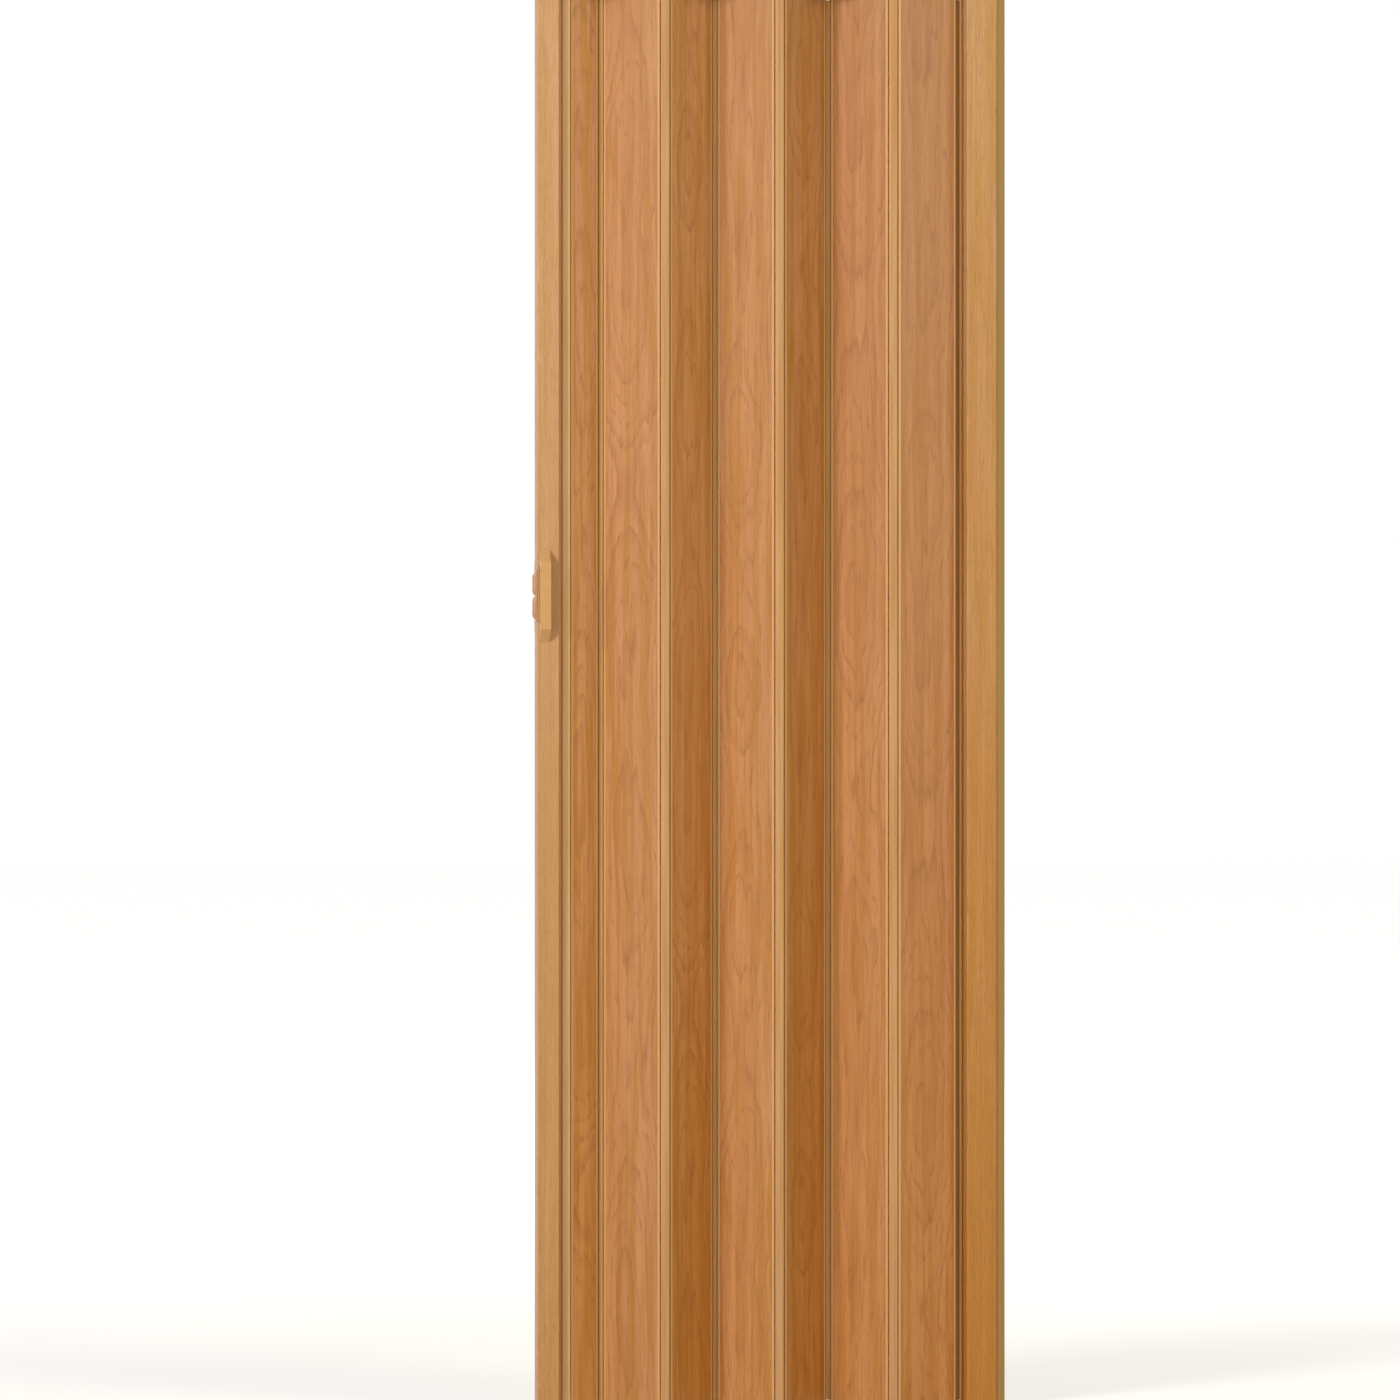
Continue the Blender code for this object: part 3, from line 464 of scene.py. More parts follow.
@dataclass(frozen=True)
class TwoTone(Finish):
    """What the plain finishes share: two close tones of one material, mixed by a pattern."""

    shade: str

    def skin(self, tree: Tree, cloud: Socket, gloss: Socket, swing: tuple[float, float]) -> dict:
        """Gives the colour and the roughness.

        Args:
            tree: the node tree to add to.
            cloud: from 0, the shade, to 1, the colour.
            gloss: the pattern, from 0 to 1, that the roughness follows.
            swing: what it adds to the roughness at 0 and at 1.

        Returns:
            Those two of the shader's inputs by name.
        """
        mix = {FACTOR: cloud, FIRST: linear(self.shade), SECOND: linear(self.colour)}
        span = {0: gloss, 3: self.roughness + swing[0], 4: self.roughness + swing[1]}
        return {
            "Base Color": add_node(tree, "Mix", mix, data_type="RGBA")[MIXED],
            "Roughness": add_node(tree, "MapRange", span)[0],
        }


@dataclass(frozen=True)
class SoftStrip(TwoTone):
    """Soft PVC, co-extruded through a polished die.

    The eye gets a plain golden skin with a satin shine, and faint die lines 0.5 mm apart that run
    its length. The lines' height is in metres.
    """

    lines: Pattern = Pattern((0.5, 0.5, 900.0), 1.0)
    line_height: float = 0.00001
    clouds: Pattern = Pattern((4.0, 4.0, 200.0), 2.0, 0.35, 0.65)

    def surface(self, tree: Tree) -> dict:
        """Gives the shader's inputs.

        Args:
            tree: the node tree to add pattern nodes to.

        Returns:
            The Principled shader's inputs by name.
        """
        place = Axes().millimetres(tree)
        line = self.lines.value(tree, place)
        cloud = self.clouds.value(tree, place)
        bump = {"Height": line, "Distance": self.line_height, "Strength": 1.0}
        return {
            **self.skin(tree, cloud, cloud, (-0.05, 0.05)),
            "Normal": add_node(tree, "Bump", bump)[0],
            "IOR": 1.53,
            "Specular IOR Level": 0.2,
        }


@dataclass(frozen=True)
class MouldedPlastic(TwoTone):
    """Injection-moulded plastic with a fine spark-eroded texture.

    The eye gets one even colour with a low, broad shine, and slightly darker flow clouds. The
    texture's grains are really 0.1 mm apart, and are drawn coarser so that they show. grit is how
    far apart they are drawn, in millimetres, and grit_height is in metres.
    """

    grit: float = 0.6
    grit_height: float = 0.000008
    clouds: Pattern = Pattern((14.0, 14.0, 14.0), 2.0, 0.35, 0.65)

    def surface(self, tree: Tree) -> dict:
        """Gives the shader's inputs.

        Args:
            tree: the node tree to add pattern nodes to.

        Returns:
            The Principled shader's inputs by name.
        """
        place = Axes().millimetres(tree)
        cloud = self.clouds.value(tree, place)
        grain = Pattern((self.grit, self.grit, self.grit), 1.0).value(tree, place)
        bump = {"Height": grain, "Distance": self.grit_height, "Strength": 1.0}
        return {
            **self.skin(tree, cloud, grain, (-0.06, 0.06)),
            "Normal": add_node(tree, "Bump", bump)[0],
            "IOR": 1.54,
        }


@dataclass(frozen=True)
class ExtrudedPlastic(TwoTone):
    """Rigid PVC, coloured through and extruded.

    The eye gets a plain olive-tan with a dull shine and long, faint die lines 1.1 mm apart. The
    lines' height is in metres.
    """

    shade: str = "#88672E"
    lines: Pattern = Pattern((1.1, 1.1, 700.0), 2.0, 0.35, 0.65)
    line_height: float = 0.00002

    def surface(self, tree: Tree) -> dict:
        """Gives the shader's inputs.

        Args:
            tree: the node tree to add pattern nodes to.

        Returns:
            The Principled shader's inputs by name.
        """
        line = self.lines.value(tree, Axes().millimetres(tree))
        bump = {"Height": line, "Distance": self.line_height, "Strength": 1.0}
        return {
            **self.skin(tree, line, line, (-0.04, 0.04)),
            "Normal": add_node(tree, "Bump", bump)[0],
            "IOR": 1.54,
        }


@dataclass(frozen=True)
class ZincPlate(TwoTone):
    """Steel wire and screws, zinc plated and clear passivated.

    The eye gets a bluish grey metal with clouds of brighter and duller plate, 1.5 mm across.
    """

    spangle: Pattern = Pattern((1.5, 1.5, 1.5), 3.0, 0.35, 0.65)

    def surface(self, tree: Tree) -> dict:
        """Gives the shader's inputs.

        Args:
            tree: the node tree to add pattern nodes to.

        Returns:
            The Principled shader's inputs by name.
        """
        cloud = self.spangle.value(tree, Axes().millimetres(tree))
        return {**self.skin(tree, cloud, cloud, (0.08, -0.06)), "Metallic": 1.0}


NATURAL_NYLON = MouldedPlastic("moulded_nylon_natural", "#E8E3D3", 0.45, shade="#DCD5C0", grit=0.8)
PLATED_STEEL = ZincPlate("steel_zinc_plated", "#C9CDD0", 0.30, shade="#A9ADAF")


def make_piece(name: str, bm: bmesh.types.BMesh) -> bpy.types.Object:
    """Turns a bmesh into a smooth-shaded object in the scene.

    Args:
        name: the piece's name.
        bm: its mesh in the row frame, which is freed.

    Returns:
        The new object.
    """
    mesh = bpy.data.meshes.new(name)
    bm.to_mesh(mesh)
    bm.free()
    mesh.shade_smooth()
    mesh.set_sharp_from_angle(angle=math.radians(SMOOTH_ANGLE))
    piece = bpy.data.objects.new(name, mesh)
    bpy.context.scene.collection.objects.link(piece)
    return piece


def round_ring(centre: Vector, radii: list[float]) -> list[Vector]:
    """Sets points evenly round an axis along Y.

    Args:
        centre: the middle of the ring.
        radii: each point's distance from the axis.

    Returns:
        The points in order.
    """
    points = []
    for step, radius in enumerate(radii):
        angle = math.tau * step / len(radii)
        points.append(centre + Vector((radius * math.cos(angle), 0.0, radius * math.sin(angle))))
    return points


def add_rings(bm: bmesh.types.BMesh, rings: list[list[Vector]]) -> None:
    """Adds a closed tube through rings of points, with both ends filled.

    Args:
        bm: the mesh to add to.
        rings: the rings in order, all with the same number of points.
    """
    made = [[bm.verts.new(point) for point in ring] for ring in rings]
    for lower, upper in zip(made, made[1:]):
        for index, vert in enumerate(lower):
            after = (index + 1) % len(lower)
            bm.faces.new((vert, lower[after], upper[after], upper[index]))
    bm.faces.new(list(reversed(made[0])))
    bm.faces.new(made[-1])
    bmesh.ops.recalc_face_normals(bm, faces=bm.faces)


class Join(Enum):
    """What a tool does to a piece."""

    CUT = "DIFFERENCE"
    UNITE = "UNION"


def combine(
    piece: bpy.types.Object, tool: bpy.types.Object, join: Join, crossing: bool = False
) -> None:
    """Cuts a tool out of a piece, or unites the two, and removes the tool.

    Args:
        piece: the object to change.
        tool: the object to cut out or unite it with.
        join: which of the two.
        crossing: whether the tool crosses itself, which takes the slower, exact solver.
    """
    change = piece.modifiers.new(join.name.lower(), "BOOLEAN")
    change.operation = join.value
    change.solver = "EXACT" if crossing else "MANIFOLD"
    change.use_self = crossing
    change.object = tool
    graph = bpy.context.evaluated_depsgraph_get()
    mesh = bpy.data.meshes.new_from_object(piece.evaluated_get(graph))
    piece.modifiers.clear()
    piece.data = mesh
    bpy.data.objects.remove(tool)


@dataclass
class Assembly:
    """What all sub-assemblies share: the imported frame."""

    frame: dict

    def finish(self, node: str, finish: Finish) -> None:
        """Gives a CAD node's object a finish in all its slots.

        Args:
            node: the CAD node's name.
            finish: the finish to put on it.
        """
        slots = self.frame["nodes"][node].data.materials
        slots.clear()
        slots.append(finish.material())
        LOG.info("%s: %s", node, finish.name)

    def add(self, piece: bpy.types.Object, finish: Finish, slot: str, node: str) -> None:
        """Puts a new piece in the place of a CAD node, with its finish.

        Args:
            piece: the new piece, in the row frame.
            finish: the finish to put on it.
            slot: the record's material slot, which is not used.
            node: the CAD node that it stands for.
        """
        piece.data.materials.clear()
        piece.data.materials.append(finish.material())
        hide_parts(node)
        LOG.info("%s: stands for %s, %s", piece.name, node, finish.name)


@dataclass
class FixedSide(Assembly):
    """The track, the wall jamb and the fixed post."""

    track: Finish = ExtrudedPlastic(
        "extruded_pvc_olive_track", "#9A773A", 0.46,
        lines=Pattern((700.0, 1.1, 1.1), 2.0, 0.35, 0.65),
    )
    jamb: Finish = ExtrudedPlastic("extruded_pvc_olive_jamb", "#9A773A", 0.46)
    post: Finish = PrintedBeech(
        "extruded_pvc_beech_foil_fixed_post", "#BA8349", 0.44, figure=Figure.STRAIGHT,
        blush="#C08B4E", amber="#B98039", ring="#9C682C", ring_spacing=2.6, ring_depth=0.5,
        # Painted light and shade: paler and bluer towards the head, darker and more saturated at
        # the foot
        head_painted_light=(1.12, 1.30, 2.0), foot_painted_light=(0.95, 0.84, 0.50),
    )

    def dress(self) -> None:
        """Gives the three profiles their finishes."""
        self.finish("top_track", self.track)
        self.finish("wall_jamb", self.jamb)
        self.finish("fixed_post", self.post)


@dataclass
class Leaf(Assembly):
    """The panels, the hinge strips and the gliders.

    edge is the unprinted margin beside each hinge axis, and drift slides the print from panel to
    panel, since each was cut from another place of the foil. Both are in metres. casts holds the
    factors on red, green and blue at each panel's head and at its foot. They are painted light and
    shade, making some panels lighter, bluer, darker or more saturated as the light falls on them.
    """

    panels: tuple[str, ...] = (
        "panel_6", "panel_5", "panel_4", "panel_3", "panel_2", "panel_1", "half_panel",
    )
    edge: float = 0.0072
    drift: float = 0.743
    foil: str = "#BD834B"
    foil_roughness: float = 0.44
    # Painted light and shade: head and foot factors for each panel, in the order of panels
    painted_lights: tuple[tuple[Triple, Triple], ...] = (
        ((0.84, 0.80, 0.80), (0.99, 0.91, 0.74)),
        ((0.90, 0.85, 0.78), (1.03, 0.98, 0.84)),
        ((0.91, 0.96, 1.12), (0.88, 0.80, 0.52)),
        ((0.97, 0.97, 1.01), (1.02, 1.00, 0.92)),
        ((1.05, 1.15, 1.55), (0.94, 0.87, 0.55)),
        ((0.96, 0.97, 1.05), (0.98, 0.99, 1.06)),
        ((1.20, 1.42, 2.20), (1.18, 1.22, 1.08)),
    )
    strip: Finish = SoftStrip("extruded_soft_pvc_gold", "#C99B6A", 0.44, shade="#BC8A55")
    # Painted light: a brighter gold for the valley strips than for the ridge strips of the same
    # soft PVC
    valley_strip_painted_light: Finish = SoftStrip("extruded_soft_pvc_amber", "#DAAA6A", 0.44, shade="#CD9B57")
    # Painted light: a paler gold for the lead strip, which lies in the lead post's shade
    lead_strip_painted_light: Finish = SoftStrip("extruded_soft_pvc_pale", "#E8C08C", 0.44, shade="#DEB179")
    # Painted shade: a darker brown for the strip in the shaded gap at the fixed post
    wall_strip_painted_shade: Finish = SoftStrip("extruded_soft_pvc_brown", "#AC7F45", 0.44, shade="#9C6F38")

    def panel_finish(self, name: str, number: int) -> PrintedBeech:
        """Works out a panel's axes from the joints on its two edges.

        Args:
            name: the panel's name, which is also its body's.
            number: its place in the leaf, counted from the fixed post.

        Returns:
            The panel's finish.
        """
        spots = [j["pos_m"] for j in self.frame["joints"] if name in (j["parent"], j["child"])]
        left, right = sorted(spots)[0], sorted(spots)[-1]
        run = (right[0] - left[0], right[1] - left[1])
        half = math.hypot(*run) / 2
        axes = Axes(right[0], right[1], math.atan2(run[1], run[0]), self.drift * (number + 1))
        head_painted_light, foot_painted_light = self.painted_lights[number]
        return PrintedBeech(
            f"extruded_pvc_beech_foil_{name}", self.foil, self.foil_roughness, axes=axes,
            middle=-half / MILLIMETRE, print_half=(half - self.edge) / MILLIMETRE,
            head_painted_light=head_painted_light, foot_painted_light=foot_painted_light,
        )

    def dress(self) -> None:
        """Gives the panels, strips and gliders their finishes."""
        for number, name in enumerate(self.panels):
            self.finish(name, self.panel_finish(name, number))
        last = len(self.panels) + 1
        for number in range(1, last + 1):
            # The valley strips' brighter gold is painted light
            strip = self.valley_strip_painted_light if number % 2 == 0 else self.strip
            # The lead strip's paler gold is painted light, and the wall strip's darker brown
            # painted shade
            strip = {1: self.lead_strip_painted_light, last: self.wall_strip_painted_shade}.get(number, strip)
            self.finish(f"hinge_strip_{number}", strip)
        for number in range(1, len(self.panels) - 1):
            self.finish(f"glider_{number}", NATURAL_NYLON)


@dataclass
class LeadPost(Assembly):
    """The lead post with its glider, its foot cap and the catch's case."""

    post: Finish = PrintedBeech(
        "extruded_pvc_beech_foil_lead_post", "#BF905F", 0.44, figure=Figure.STRAIGHT,
        blush="#C69667", amber="#BD8E55", ring="#A1713B", ring_spacing=2.6, ring_depth=0.5,
        # Painted light and shade: paler and bluer towards the head, a little darker at the foot
        head_painted_light=(1.12, 1.18, 1.42), foot_painted_light=(1.02, 0.98, 0.90),
    )
    plastic: Finish = MouldedPlastic("moulded_abs_gold", "#C9965F", 0.38, shade="#BD8A53")
    parts: tuple[str, ...] = ("lead_foot_cap", "catch_case", "catch_back_plate")

    def dress(self) -> None:
        """Gives the post and what it carries their finishes."""
        self.finish("lead_post", self.post)
        self.finish("lead_glider", NATURAL_NYLON)
        for name in self.parts:
            self.finish(name, self.plastic)


@dataclass
class PullHandles(Assembly):
    """Two bow handles with softened edges and moulded screw seats.

    Lengths are in metres. The handles' outer sizes come from their CAD nodes' boxes.
    """

    grip_length: float = 0.094
    grip_thickness: float = 0.0042
    gap_length: float = 0.084
    gap_slope: float = 0.004
    softening: float = 0.0007
    softening_steps: int = 3
    flat_angle: float = 0.1
    shank_hole: float = 0.0024
    head_hole: float = 0.0040
    hole_sides: int = 32
    front_hole_depth: float = 0.0064
    back_seat_depth: float = 0.0040
    plastic: Finish = MouldedPlastic("moulded_abs_gold_handle", "#CB9A61", 0.38, shade="#C5935A")

    def outline(self, foot: float, grip: float, low: float, high: float) -> list[list]:
        """The handle's side view, as the bow's outer line and its inner line.

        Args:
            foot: y of the feet, against the post.
            grip: y of the grip's outer face.
            low: the lowest z.
            high: the highest z.

        Returns:
            Four (y, z) corners of each line, upwards.
        """
        middle = (low + high) / 2
        ceiling = grip - math.copysign(self.grip_thickness, grip - foot)
        half, gap = self.grip_length / 2, self.gap_length / 2
        outer = [(foot, low), (grip, middle - half), (grip, middle + half), (foot, high)]
        inner = [
            (foot, middle - gap), (ceiling, middle - gap + self.gap_slope),
            (ceiling, middle + gap - self.gap_slope), (foot, middle + gap),
        ]
        return [outer, inner]

    def build(self, word: str) -> bpy.types.Object:
        """Builds one handle in its CAD node's box.

        Args:
            word: front or back.

        Returns:
            The handle.
        """
        low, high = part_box(f"{word}_handle")
        foot, grip = (high.y, low.y) if word == "front" else (low.y, high.y)
        lines = self.outline(foot, grip, low.z, high.z)
        bm = bmesh.new()
        left, right = (
            [[bm.verts.new((x, y, z)) for y, z in line] for line in lines]
            for x in (low.x, high.x)
        )
        for outer, inner in (left, right):
            for k in range(3):
                bm.faces.new((outer[k], outer[k + 1], inner[k + 1], inner[k]))
        for near, far in zip(left, right):
            for k in range(3):
                bm.faces.new((near[k], near[k + 1], far[k + 1], far[k]))
        for k in (0, 3):
            bm.faces.new((left[0][k], left[1][k], right[1][k], right[0][k]))
        bmesh.ops.recalc_face_normals(bm, faces=bm.faces)
        sharp = [edge for edge in bm.edges if edge.calc_face_angle(0.0) > self.flat_angle]
        bmesh.ops.bevel(
            bm, geom=sharp, offset=self.softening, segments=self.softening_steps,
            affect="EDGES", profile=0.5,
        )
        handle = make_piece(f"{word}_handle_bow", bm)
        for level in ("upper", "lower"):
            self.cut_hole(handle, level, foot, grip)
        # The rounded edges are fine enough for plain flat shading
        handle.data.shade_flat()
        return handle

    def cut_hole(self, handle: bpy.types.Object, level: str, foot: float, grip: float) -> None:
        """Cuts one screw hole, with a seat for the screw's head in the back handle.

        Args:
            handle: the handle to cut.
            level: upper or lower.
            foot: y of the feet, against the post.
            grip: y of the grip's outer face.
        """
        low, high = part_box(f"handle_screw_{level}")
        x, z = (low.x + high.x) / 2, (low.z + high.z) / 2
        if grip < foot:
            end = foot - self.front_hole_depth
            steps = [(foot + OVERRUN, self.shank_hole), (end, self.shank_hole)]
        else:
            seat = foot + self.back_seat_depth
            steps = [(foot - OVERRUN, self.shank_hole), (seat, self.shank_hole)]
            steps += [(seat, self.head_hole), (grip + OVERRUN, self.head_hole)]
        bm = bmesh.new()
        add_rings(bm, [
            round_ring(Vector((x, y, z)), [radius] * self.hole_sides) for y, radius in steps
        ])
        combine(handle, make_piece("screw_hole_cutter", bm), Join.CUT)

    def dress(self) -> None:
        """Builds both handles and puts them in place of the plain ones."""
        for word in ("front", "back"):
            handle = self.build(word)
            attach(handle, "lead")
            self.add(handle, self.plastic, "handle_plastic", f"{word}_handle")


@dataclass
class HandleScrews(Assembly):
    """Two long pan-head screws with a cross recess and a self-tapping thread.

    Lengths and radii are in metres. crest narrows the thread's crest, end_turns is how many turns
    the thread takes to rise from the tip, and the tip starts at tip_share of the core and reaches
    it in tip_turns. The head's dome flattens at crown of its radius, and recess is the cross's arm
    width, its length and its depth, where it has narrowed to recess_end.
    """

    shank: float = 0.0017
    thread: float = 0.0020
    core: float = 0.0015
    pitch: float = 0.0014
    thread_length: float = 0.014
    runout: float = 0.0004
    crest: float = 2.6
    end_turns: float = 2.4
    tip_turns: float = 2.0
    tip_share: float = 0.35
    rings_per_turn: int = 7
    sides: int = 24
    head_height: float = 0.0024
    head_flank: float = 0.0008
    head_chamfer: float = 0.0002
    head_foot: float = 0.97
    crown: float = 0.25
    dome_steps: int = 8
    recess: Triple = (0.0009, 0.0044, 0.0016)
    recess_end: float = 0.55

    def radius(self, along: float, angle: float) -> float:
        """The screw's radius under its head.

        Args:
            along: distance from the tip, in metres.
            angle: angle about the axis, in radians.

        Returns:
            The radius in metres.
        """
        if along >= self.thread_length:
            return self.shank
        turns, left = along / self.pitch, (self.thread_length - along) / self.pitch
        height = max(0.0, 1.0 - self.crest * abs((turns - angle / math.tau) % 1.0 - 0.5))
        height *= min(1.0, turns / self.end_turns, left)
        tip = self.tip_share + (1.0 - self.tip_share) * min(1.0, turns / self.tip_turns)
        return self.core * tip + (self.thread - self.core) * height

    def build(self, word: str) -> bpy.types.Object:
        """Builds one screw in its CAD node's box.

        Args:
            word: upper or lower.

        Returns:
            The screw.
        """
        low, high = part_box(f"handle_screw_{word}")
        x, z = (low.x + high.x) / 2, (low.z + high.z) / 2
        length = high.y - low.y - self.head_height
        step = self.pitch / self.rings_per_turn
        stations = [index * step for index in range(int(self.thread_length / step) + 1)]
        stations += [self.thread_length + self.runout, length]
        angles = [math.tau * side / self.sides for side in range(self.sides)]
        profile = [([self.radius(along, angle) for angle in angles], along) for along in stations]
        head = (high.x - low.x) / 2
        flank = length + self.head_flank
        edge = [(head * self.head_foot, length), (head, length + self.head_chamfer), (head, flank)]
        for index in range(1, self.dome_steps):
            bend = math.pi / 2 * index / self.dome_steps
            radius = head * (self.crown + (1.0 - self.crown) * math.cos(bend))
            edge.append((radius, flank + (self.head_height - self.head_flank) * math.sin(bend)))
        profile += [([radius] * self.sides, along) for radius, along in edge]
        rings = [round_ring(Vector((x, low.y + along, z)), radii) for radii, along in profile]
        bm = bmesh.new()
        add_rings(bm, rings)
        screw = make_piece(f"handle_screw_{word}_cross_head", bm)
        self.cut_recess(screw, Vector((x, high.y, z)))
        return screw

    def cut_recess(self, screw: bpy.types.Object, top: Vector) -> None:
        """Cuts a cross recess that narrows downwards.

        Args:
            screw: the screw to cut.
            top: the middle of its head's top.
        """
        thin, wide, deep = self.recess
        bm = bmesh.new()
        for across, along in ((thin, wide), (wide, thin)):
            rings = []
            for depth, scale in ((OVERRUN, 1.0), (0.0, 1.0), (-deep, self.recess_end)):
                half = (across / 2 * scale, along / 2 * scale)
                rings.append([
                    top + Vector((sx * half[0], depth, sz * half[1]))
                    for sx, sz in ((-1, -1), (1, -1), (1, 1), (-1, 1))
                ])
            add_rings(bm, rings)
        combine(screw, make_piece("recess_cutter", bm), Join.CUT, crossing=True)

    def dress(self) -> None:
        """Builds both screws and puts them in place of the plain ones."""
        for word in ("upper", "lower"):
            screw = self.build(word)
            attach(screw, "lead")
            self.add(screw, PLATED_STEEL, "zinc_steel", f"handle_screw_{word}")


@dataclass
class CatchNoses(Assembly):
    """The catch's two sprung noses: domed lobes with a shoulder that keeps them in the case.

    Lengths are in metres. proud is how far a lobe stands out at its middle, and end_proud at its
    ends. shoulder is how thick the shoulder is, and overlap is how far it stands out all round.
    """

    length: float = 0.030
    width: float = 0.010
    proud: float = 0.0042
    end_proud: float = 0.0012
    rounding: float = 0.006
    shoulder: float = 0.0015
    overlap: float = 0.0009
    stations: int = 12
    arc_steps: int = 20
    plastic: Finish = MouldedPlastic("moulded_abs_brown", "#B78257", 0.38, shade="#AB764B")

    def plan(self, proud: float, back: float) -> list[tuple[float, float]]:
        """The lobe's section across z: an arc in front of the flange line, and straight sides.

        Args:
            proud: how far the arc stands out to the left.
            back: x of the section's flat back.

        Returns:
            Its (x, y) points about the flange line.
        """
        half = self.width / 2
        radius = (half * half + proud * proud) / 2 / proud
        reach = math.asin(half / radius)
        points = []
        for step in range(self.arc_steps + 1):
            angle = math.pi + reach - 2 * reach * step / self.arc_steps
            points.append((radius - proud + radius * math.cos(angle), radius * math.sin(angle)))
        return points + [(back, points[-1][1]), (back, points[0][1])]

    def build(self, word: str) -> bpy.types.Object:
        """Builds one nose in its CAD node's box.

        Args:
            word: upper or lower.

        Returns:
            The nose.
        """
        low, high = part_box(f"catch_nose_{word}")
        middle = Vector((low.x + self.proud, (low.y + high.y) / 2, (low.z + high.z) / 2))
        back = high.x - middle.x
        stations = []
        for step in range(self.stations + 1):
            turn = math.pi / 2 * step / self.stations
            height = self.rounding * (1 - math.cos(turn)) - self.length / 2
            proud = self.end_proud + (self.proud - self.end_proud) * math.sin(turn)
            stations.append((height, proud))
        stations += [(-height, proud) for height, proud in reversed(stations)]
        bm = bmesh.new()
        add_rings(bm, [
            [middle + Vector((x, y, height)) for x, y in self.plan(proud, back - self.shoulder / 2)]
            for height, proud in stations
        ])
        nose = make_piece(f"catch_nose_{word}_domed", bm)
        wide, long = self.width / 2 + self.overlap, self.length / 2 + self.overlap
        corners = ((-wide, -long), (wide, -long), (wide, long), (-wide, long))
        bm = bmesh.new()
        add_rings(bm, [
            [middle + Vector((x, y, z)) for y, z in corners] for x in (back - self.shoulder, back)
        ])
        combine(nose, make_piece("shoulder", bm), Join.UNITE)
        return nose

    def dress(self) -> None:
        """Builds both noses, which slide in the case."""
        for word in ("upper", "lower"):
            nose = self.build(word)
            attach(nose, f"nose_{word}")
            self.add(nose, self.plastic, "handle_plastic", f"catch_nose_{word}")


@dataclass
class CatchSprings(Assembly):
    """Two compression springs with closed ends.

    wire is the wire's radius in metres, and dead_pitch is how far the closed turns rise, in radii.
    """

    turns: float = 7.0
    dead_turns: float = 1.0
    dead_pitch: float = 2.2
    steps_per_turn: int = 24
    wire_sides: int = 8
    wire: float = 0.00035

    def build(self, word: str) -> bpy.types.Object:
        """Builds one spring in its CAD node's box.

        Args:
            word: upper or lower.

        Returns:
            The spring.
        """
        low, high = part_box(f"catch_spring_{word}")
        y, z = (low.y + high.y) / 2, (low.z + high.z) / 2
        coil = (high.y - low.y) / 2 - self.wire
        start, end = low.x + self.wire, high.x - self.wire
        dead = self.dead_pitch * self.wire
        count = int(self.turns * self.steps_per_turn)
        line = []
        for index in range(count + 1):
            turn = index / self.steps_per_turn
            live = (turn - self.dead_turns) / (self.turns - 2 * self.dead_turns)
            live = min(1.0, max(0.0, live))
            along = start + dead + (end - start - 2 * dead) * live
            along += dead * (min(turn, self.dead_turns) / self.dead_turns - 1.0)
            along += dead * (1.0 - min(self.turns - turn, self.dead_turns) / self.dead_turns)
            angle = math.tau * turn
            line.append(Vector((along, y + coil * math.cos(angle), z + coil * math.sin(angle))))
        angles = [math.tau * side / self.wire_sides for side in range(self.wire_sides)]
        rings = []
        for index, spot in enumerate(line):
            ahead = line[min(index + 1, count)] - line[max(index - 1, 0)]
            out = Vector((0.0, spot.y - y, spot.z - z)).normalized()
            side = ahead.normalized().cross(out)
            rings.append([
                spot + self.wire * (out * math.cos(angle) + side * math.sin(angle))
                for angle in angles
            ])
        bm = bmesh.new()
        add_rings(bm, rings)
        return make_piece(f"catch_spring_{word}_closed_ends", bm)

    def dress(self) -> None:
        """Builds both springs, each held between the case and its nose."""
        for word in ("upper", "lower"):
            spring = self.build(word)
            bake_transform(spring)
            self.add(spring, PLATED_STEEL, "zinc_steel", f"catch_spring_{word}")


@dataclass(frozen=True)
class Lamp:
    """A round soft lamp that faces the door: degrees from the front and up, metres and watts."""

    name: str
    azimuth: float
    elevation: float
    distance: float
    size: float
    power: float
    tint: str = WHITE


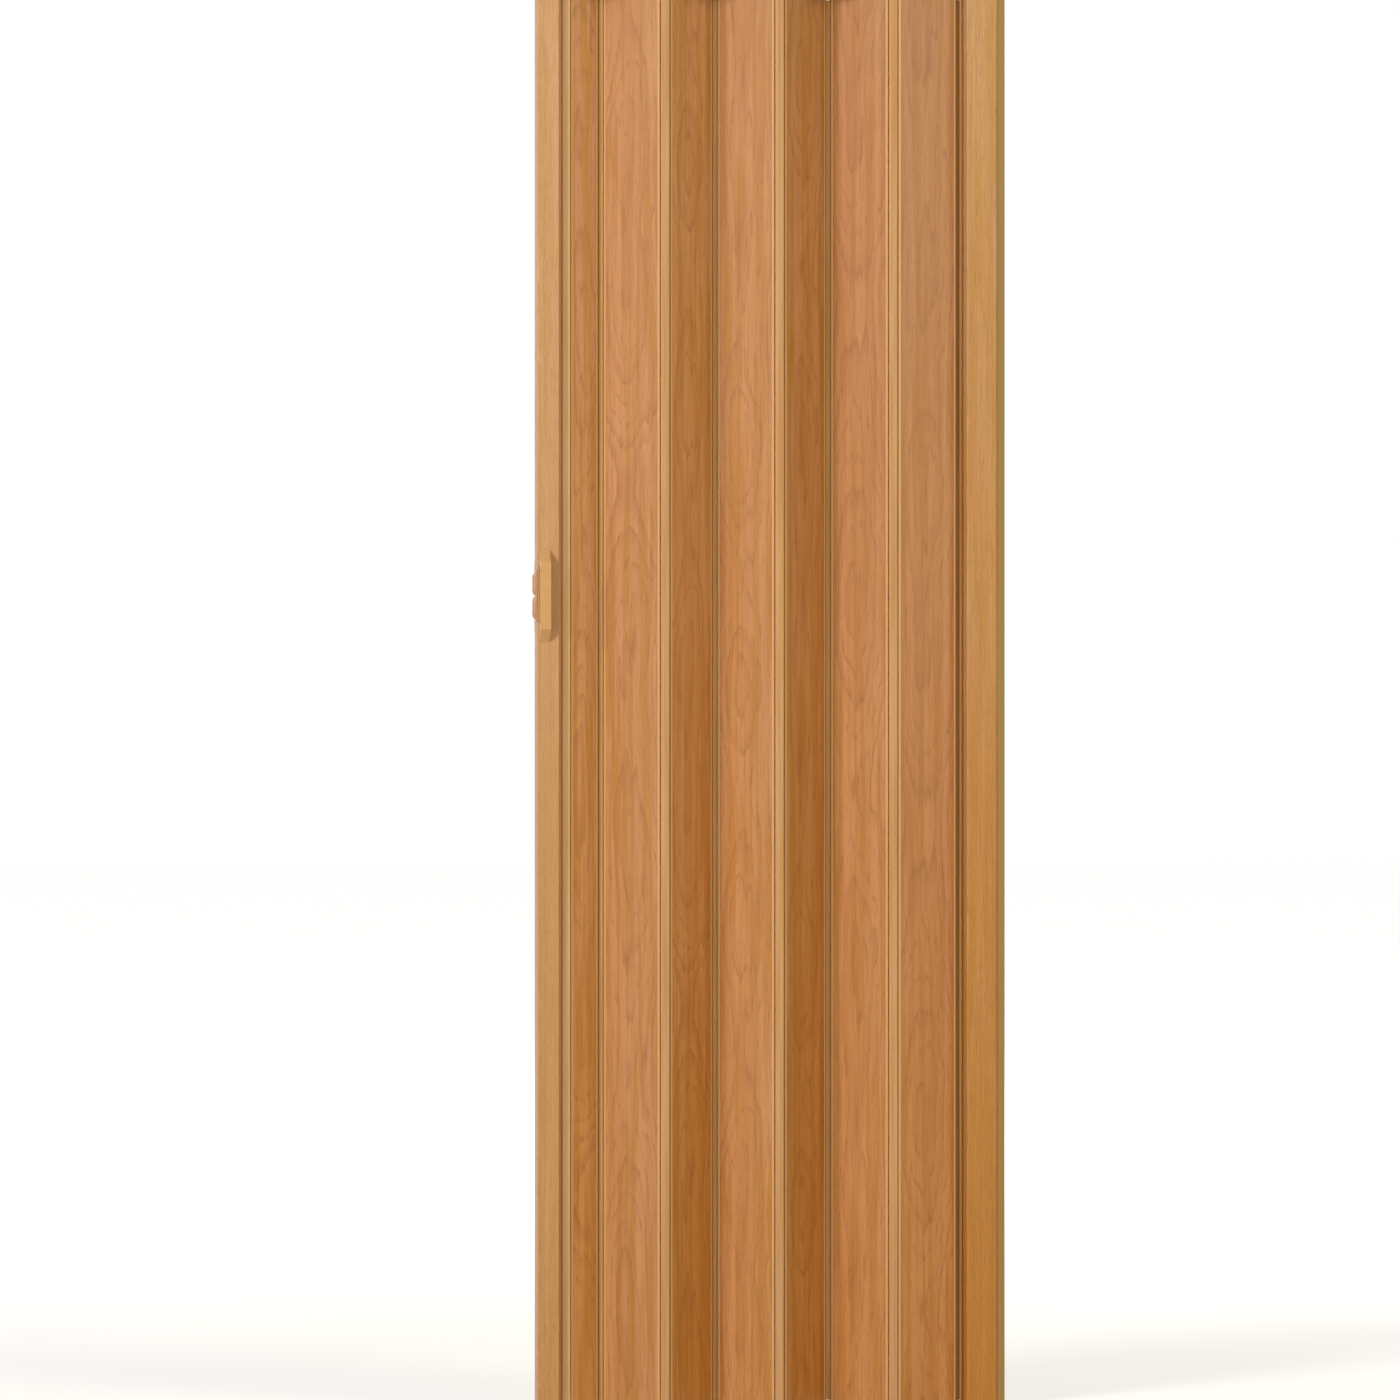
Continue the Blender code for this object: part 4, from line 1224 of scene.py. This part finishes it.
@dataclass
class Studio:
    """The plain pale floor, the soft lamps, the white surround and the camera.

    Lengths are in metres and angles in degrees. floor_glow is how far the floor's white is lifted
    at the two distances of glow_reach from the door.
    """

    floor_height: float = -2.05
    floor_half: float = 30.0
    floor_paint: str = "#CFCCC6"
    floor_glow: tuple[float, float] = (0.50, 0.90)
    glow_reach: tuple[float, float] = (1.0, 5.0)
    target: Triple = (-0.0281, 0.0, -1.041)
    distance: float = 9.0
    azimuth: float = -9.5
    lens: float = 162.9
    ambient: float = 0.15
    lamps: tuple[Lamp, ...] = (
        Lamp("key", -52.0, elevation=14.0, distance=8.0, size=2.7, power=500.0),
        Lamp("fill", 50.0, elevation=16.0, distance=8.0, size=3.9, power=310.0, tint="#FFF6DC"),
        Lamp("back", 155.0, elevation=30.0, distance=8.0, size=3.9, power=330.0),
    )

    def around(self, azimuth: float, elevation: float, distance: float) -> Vector:
        """A point round the target.

        Args:
            azimuth: degrees from the front, negative to the left.
            elevation: degrees above the level.
            distance: metres from the target.

        Returns:
            The point.
        """
        turn, rise = math.radians(azimuth), math.radians(elevation)
        level = math.cos(rise)
        way = Vector((math.sin(turn) * level, -math.cos(turn) * level, math.sin(rise)))
        return Vector(self.target) + distance * way

    def aim(self, obj: bpy.types.Object, place: Vector) -> None:
        """Puts a lamp or a camera at a place and points it at the target.

        Args:
            obj: the object, which is added to the scene.
            place: where it goes.
        """
        obj.location = place
        obj.rotation_euler = (Vector(self.target) - place).to_track_quat("-Z", "Y").to_euler()
        bpy.context.scene.collection.objects.link(obj)

    def seen(self, tree: Tree) -> Socket:
        """Adds the nodes that tell what is seen from what only gives light.

        Args:
            tree: the node tree to add them to.

        Returns:
            1 for a camera, glossy or transmission ray, and 0 for others.
        """
        path = add_node(tree, "LightPath")
        seen = path["Is Camera Ray"]
        for kind in ("Is Glossy Ray", "Is Transmission Ray"):
            seen = add_node(tree, "Math", {0: seen, 1: path[kind]}, operation="MAXIMUM")[0]
        return seen

    def build_world(self) -> None:
        """Makes the surround: white where it is seen or mirrored, softer as light."""
        world = bpy.data.worlds.new("white_surround")
        tree = empty_tree(world)
        span = {0: self.seen(tree), 3: self.ambient, 4: 1.0}
        strength = add_node(tree, "MapRange", span)[0]
        light = add_node(tree, "Background", {"Color": linear(WHITE), "Strength": strength})
        add_node(tree, "OutputWorld", {"Surface": light[0]})
        bpy.context.scene.world = world

    def build_floor(self) -> None:
        """Makes the floor: pale, and lifted to white where it is seen, so that the shadow stays.

        The lamps reach the floor less far away, so the lift grows outwards from the door.
        """
        bm = bmesh.new()
        half = self.floor_half
        corners = ((-half, -half), (half, -half), (half, half), (-half, half))
        bm.faces.new([bm.verts.new((x, y, self.floor_height)) for x, y in corners])
        floor = make_piece("floor", bm)
        material = bpy.data.materials.new("painted_concrete_pale")
        tree = empty_tree(material)
        away = add_node(tree, "TexCoord")["Object"]
        away = add_node(tree, "VectorMath", {0: away}, operation="LENGTH")["Value"]
        low, high = (math.hypot(reach, self.floor_height) for reach in self.glow_reach)
        lift = {0: away, 1: low, 2: high, 3: self.floor_glow[0], 4: self.floor_glow[1]}
        glow = {0: self.seen(tree), 1: add_node(tree, "MapRange", lift)[0]}
        glow = add_node(tree, "Math", glow, operation="MULTIPLY")[0]
        paint = add_node(tree, "BsdfDiffuse", {"Color": linear(self.floor_paint)})
        light = add_node(tree, "Emission", {"Color": linear(WHITE), "Strength": glow})
        both = add_node(tree, "AddShader", {0: paint[0], 1: light[0]})
        add_node(tree, "OutputMaterial", {"Surface": both[0]})
        floor.data.materials.append(material)

    def build(self) -> None:
        """Builds the whole studio."""
        self.build_world()
        self.build_floor()
        for lamp in self.lamps:
            light = bpy.data.lights.new(lamp.name, "AREA")
            light.shape = "DISK"
            light.size = lamp.size
            light.energy = lamp.power
            light.color = linear(lamp.tint)[:3]
            place = self.around(lamp.azimuth, lamp.elevation, lamp.distance)
            self.aim(bpy.data.objects.new(lamp.name, light), place)
        lens = bpy.data.cameras.new("camera")
        lens.lens = self.lens
        camera = bpy.data.objects.new("camera", lens)
        self.aim(camera, self.around(self.azimuth, 0.0, self.distance))
        bpy.context.scene.camera = camera
        bpy.context.scene.view_settings.view_transform = "Standard"
        LOG.info("studio: %d lamps", len(self.lamps))


def main() -> None:
    """Loads the frame, dresses each sub-assembly in order and builds the studio."""
    logging.basicConfig(level=logging.INFO, format="%(name)s: %(message)s")
    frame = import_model()
    kinds = (FixedSide, Leaf, LeadPost, PullHandles, HandleScrews, CatchNoses, CatchSprings)
    for kind in kinds:
        kind(frame).dress()
    Studio().build()


if __name__ == "__main__":
    main()
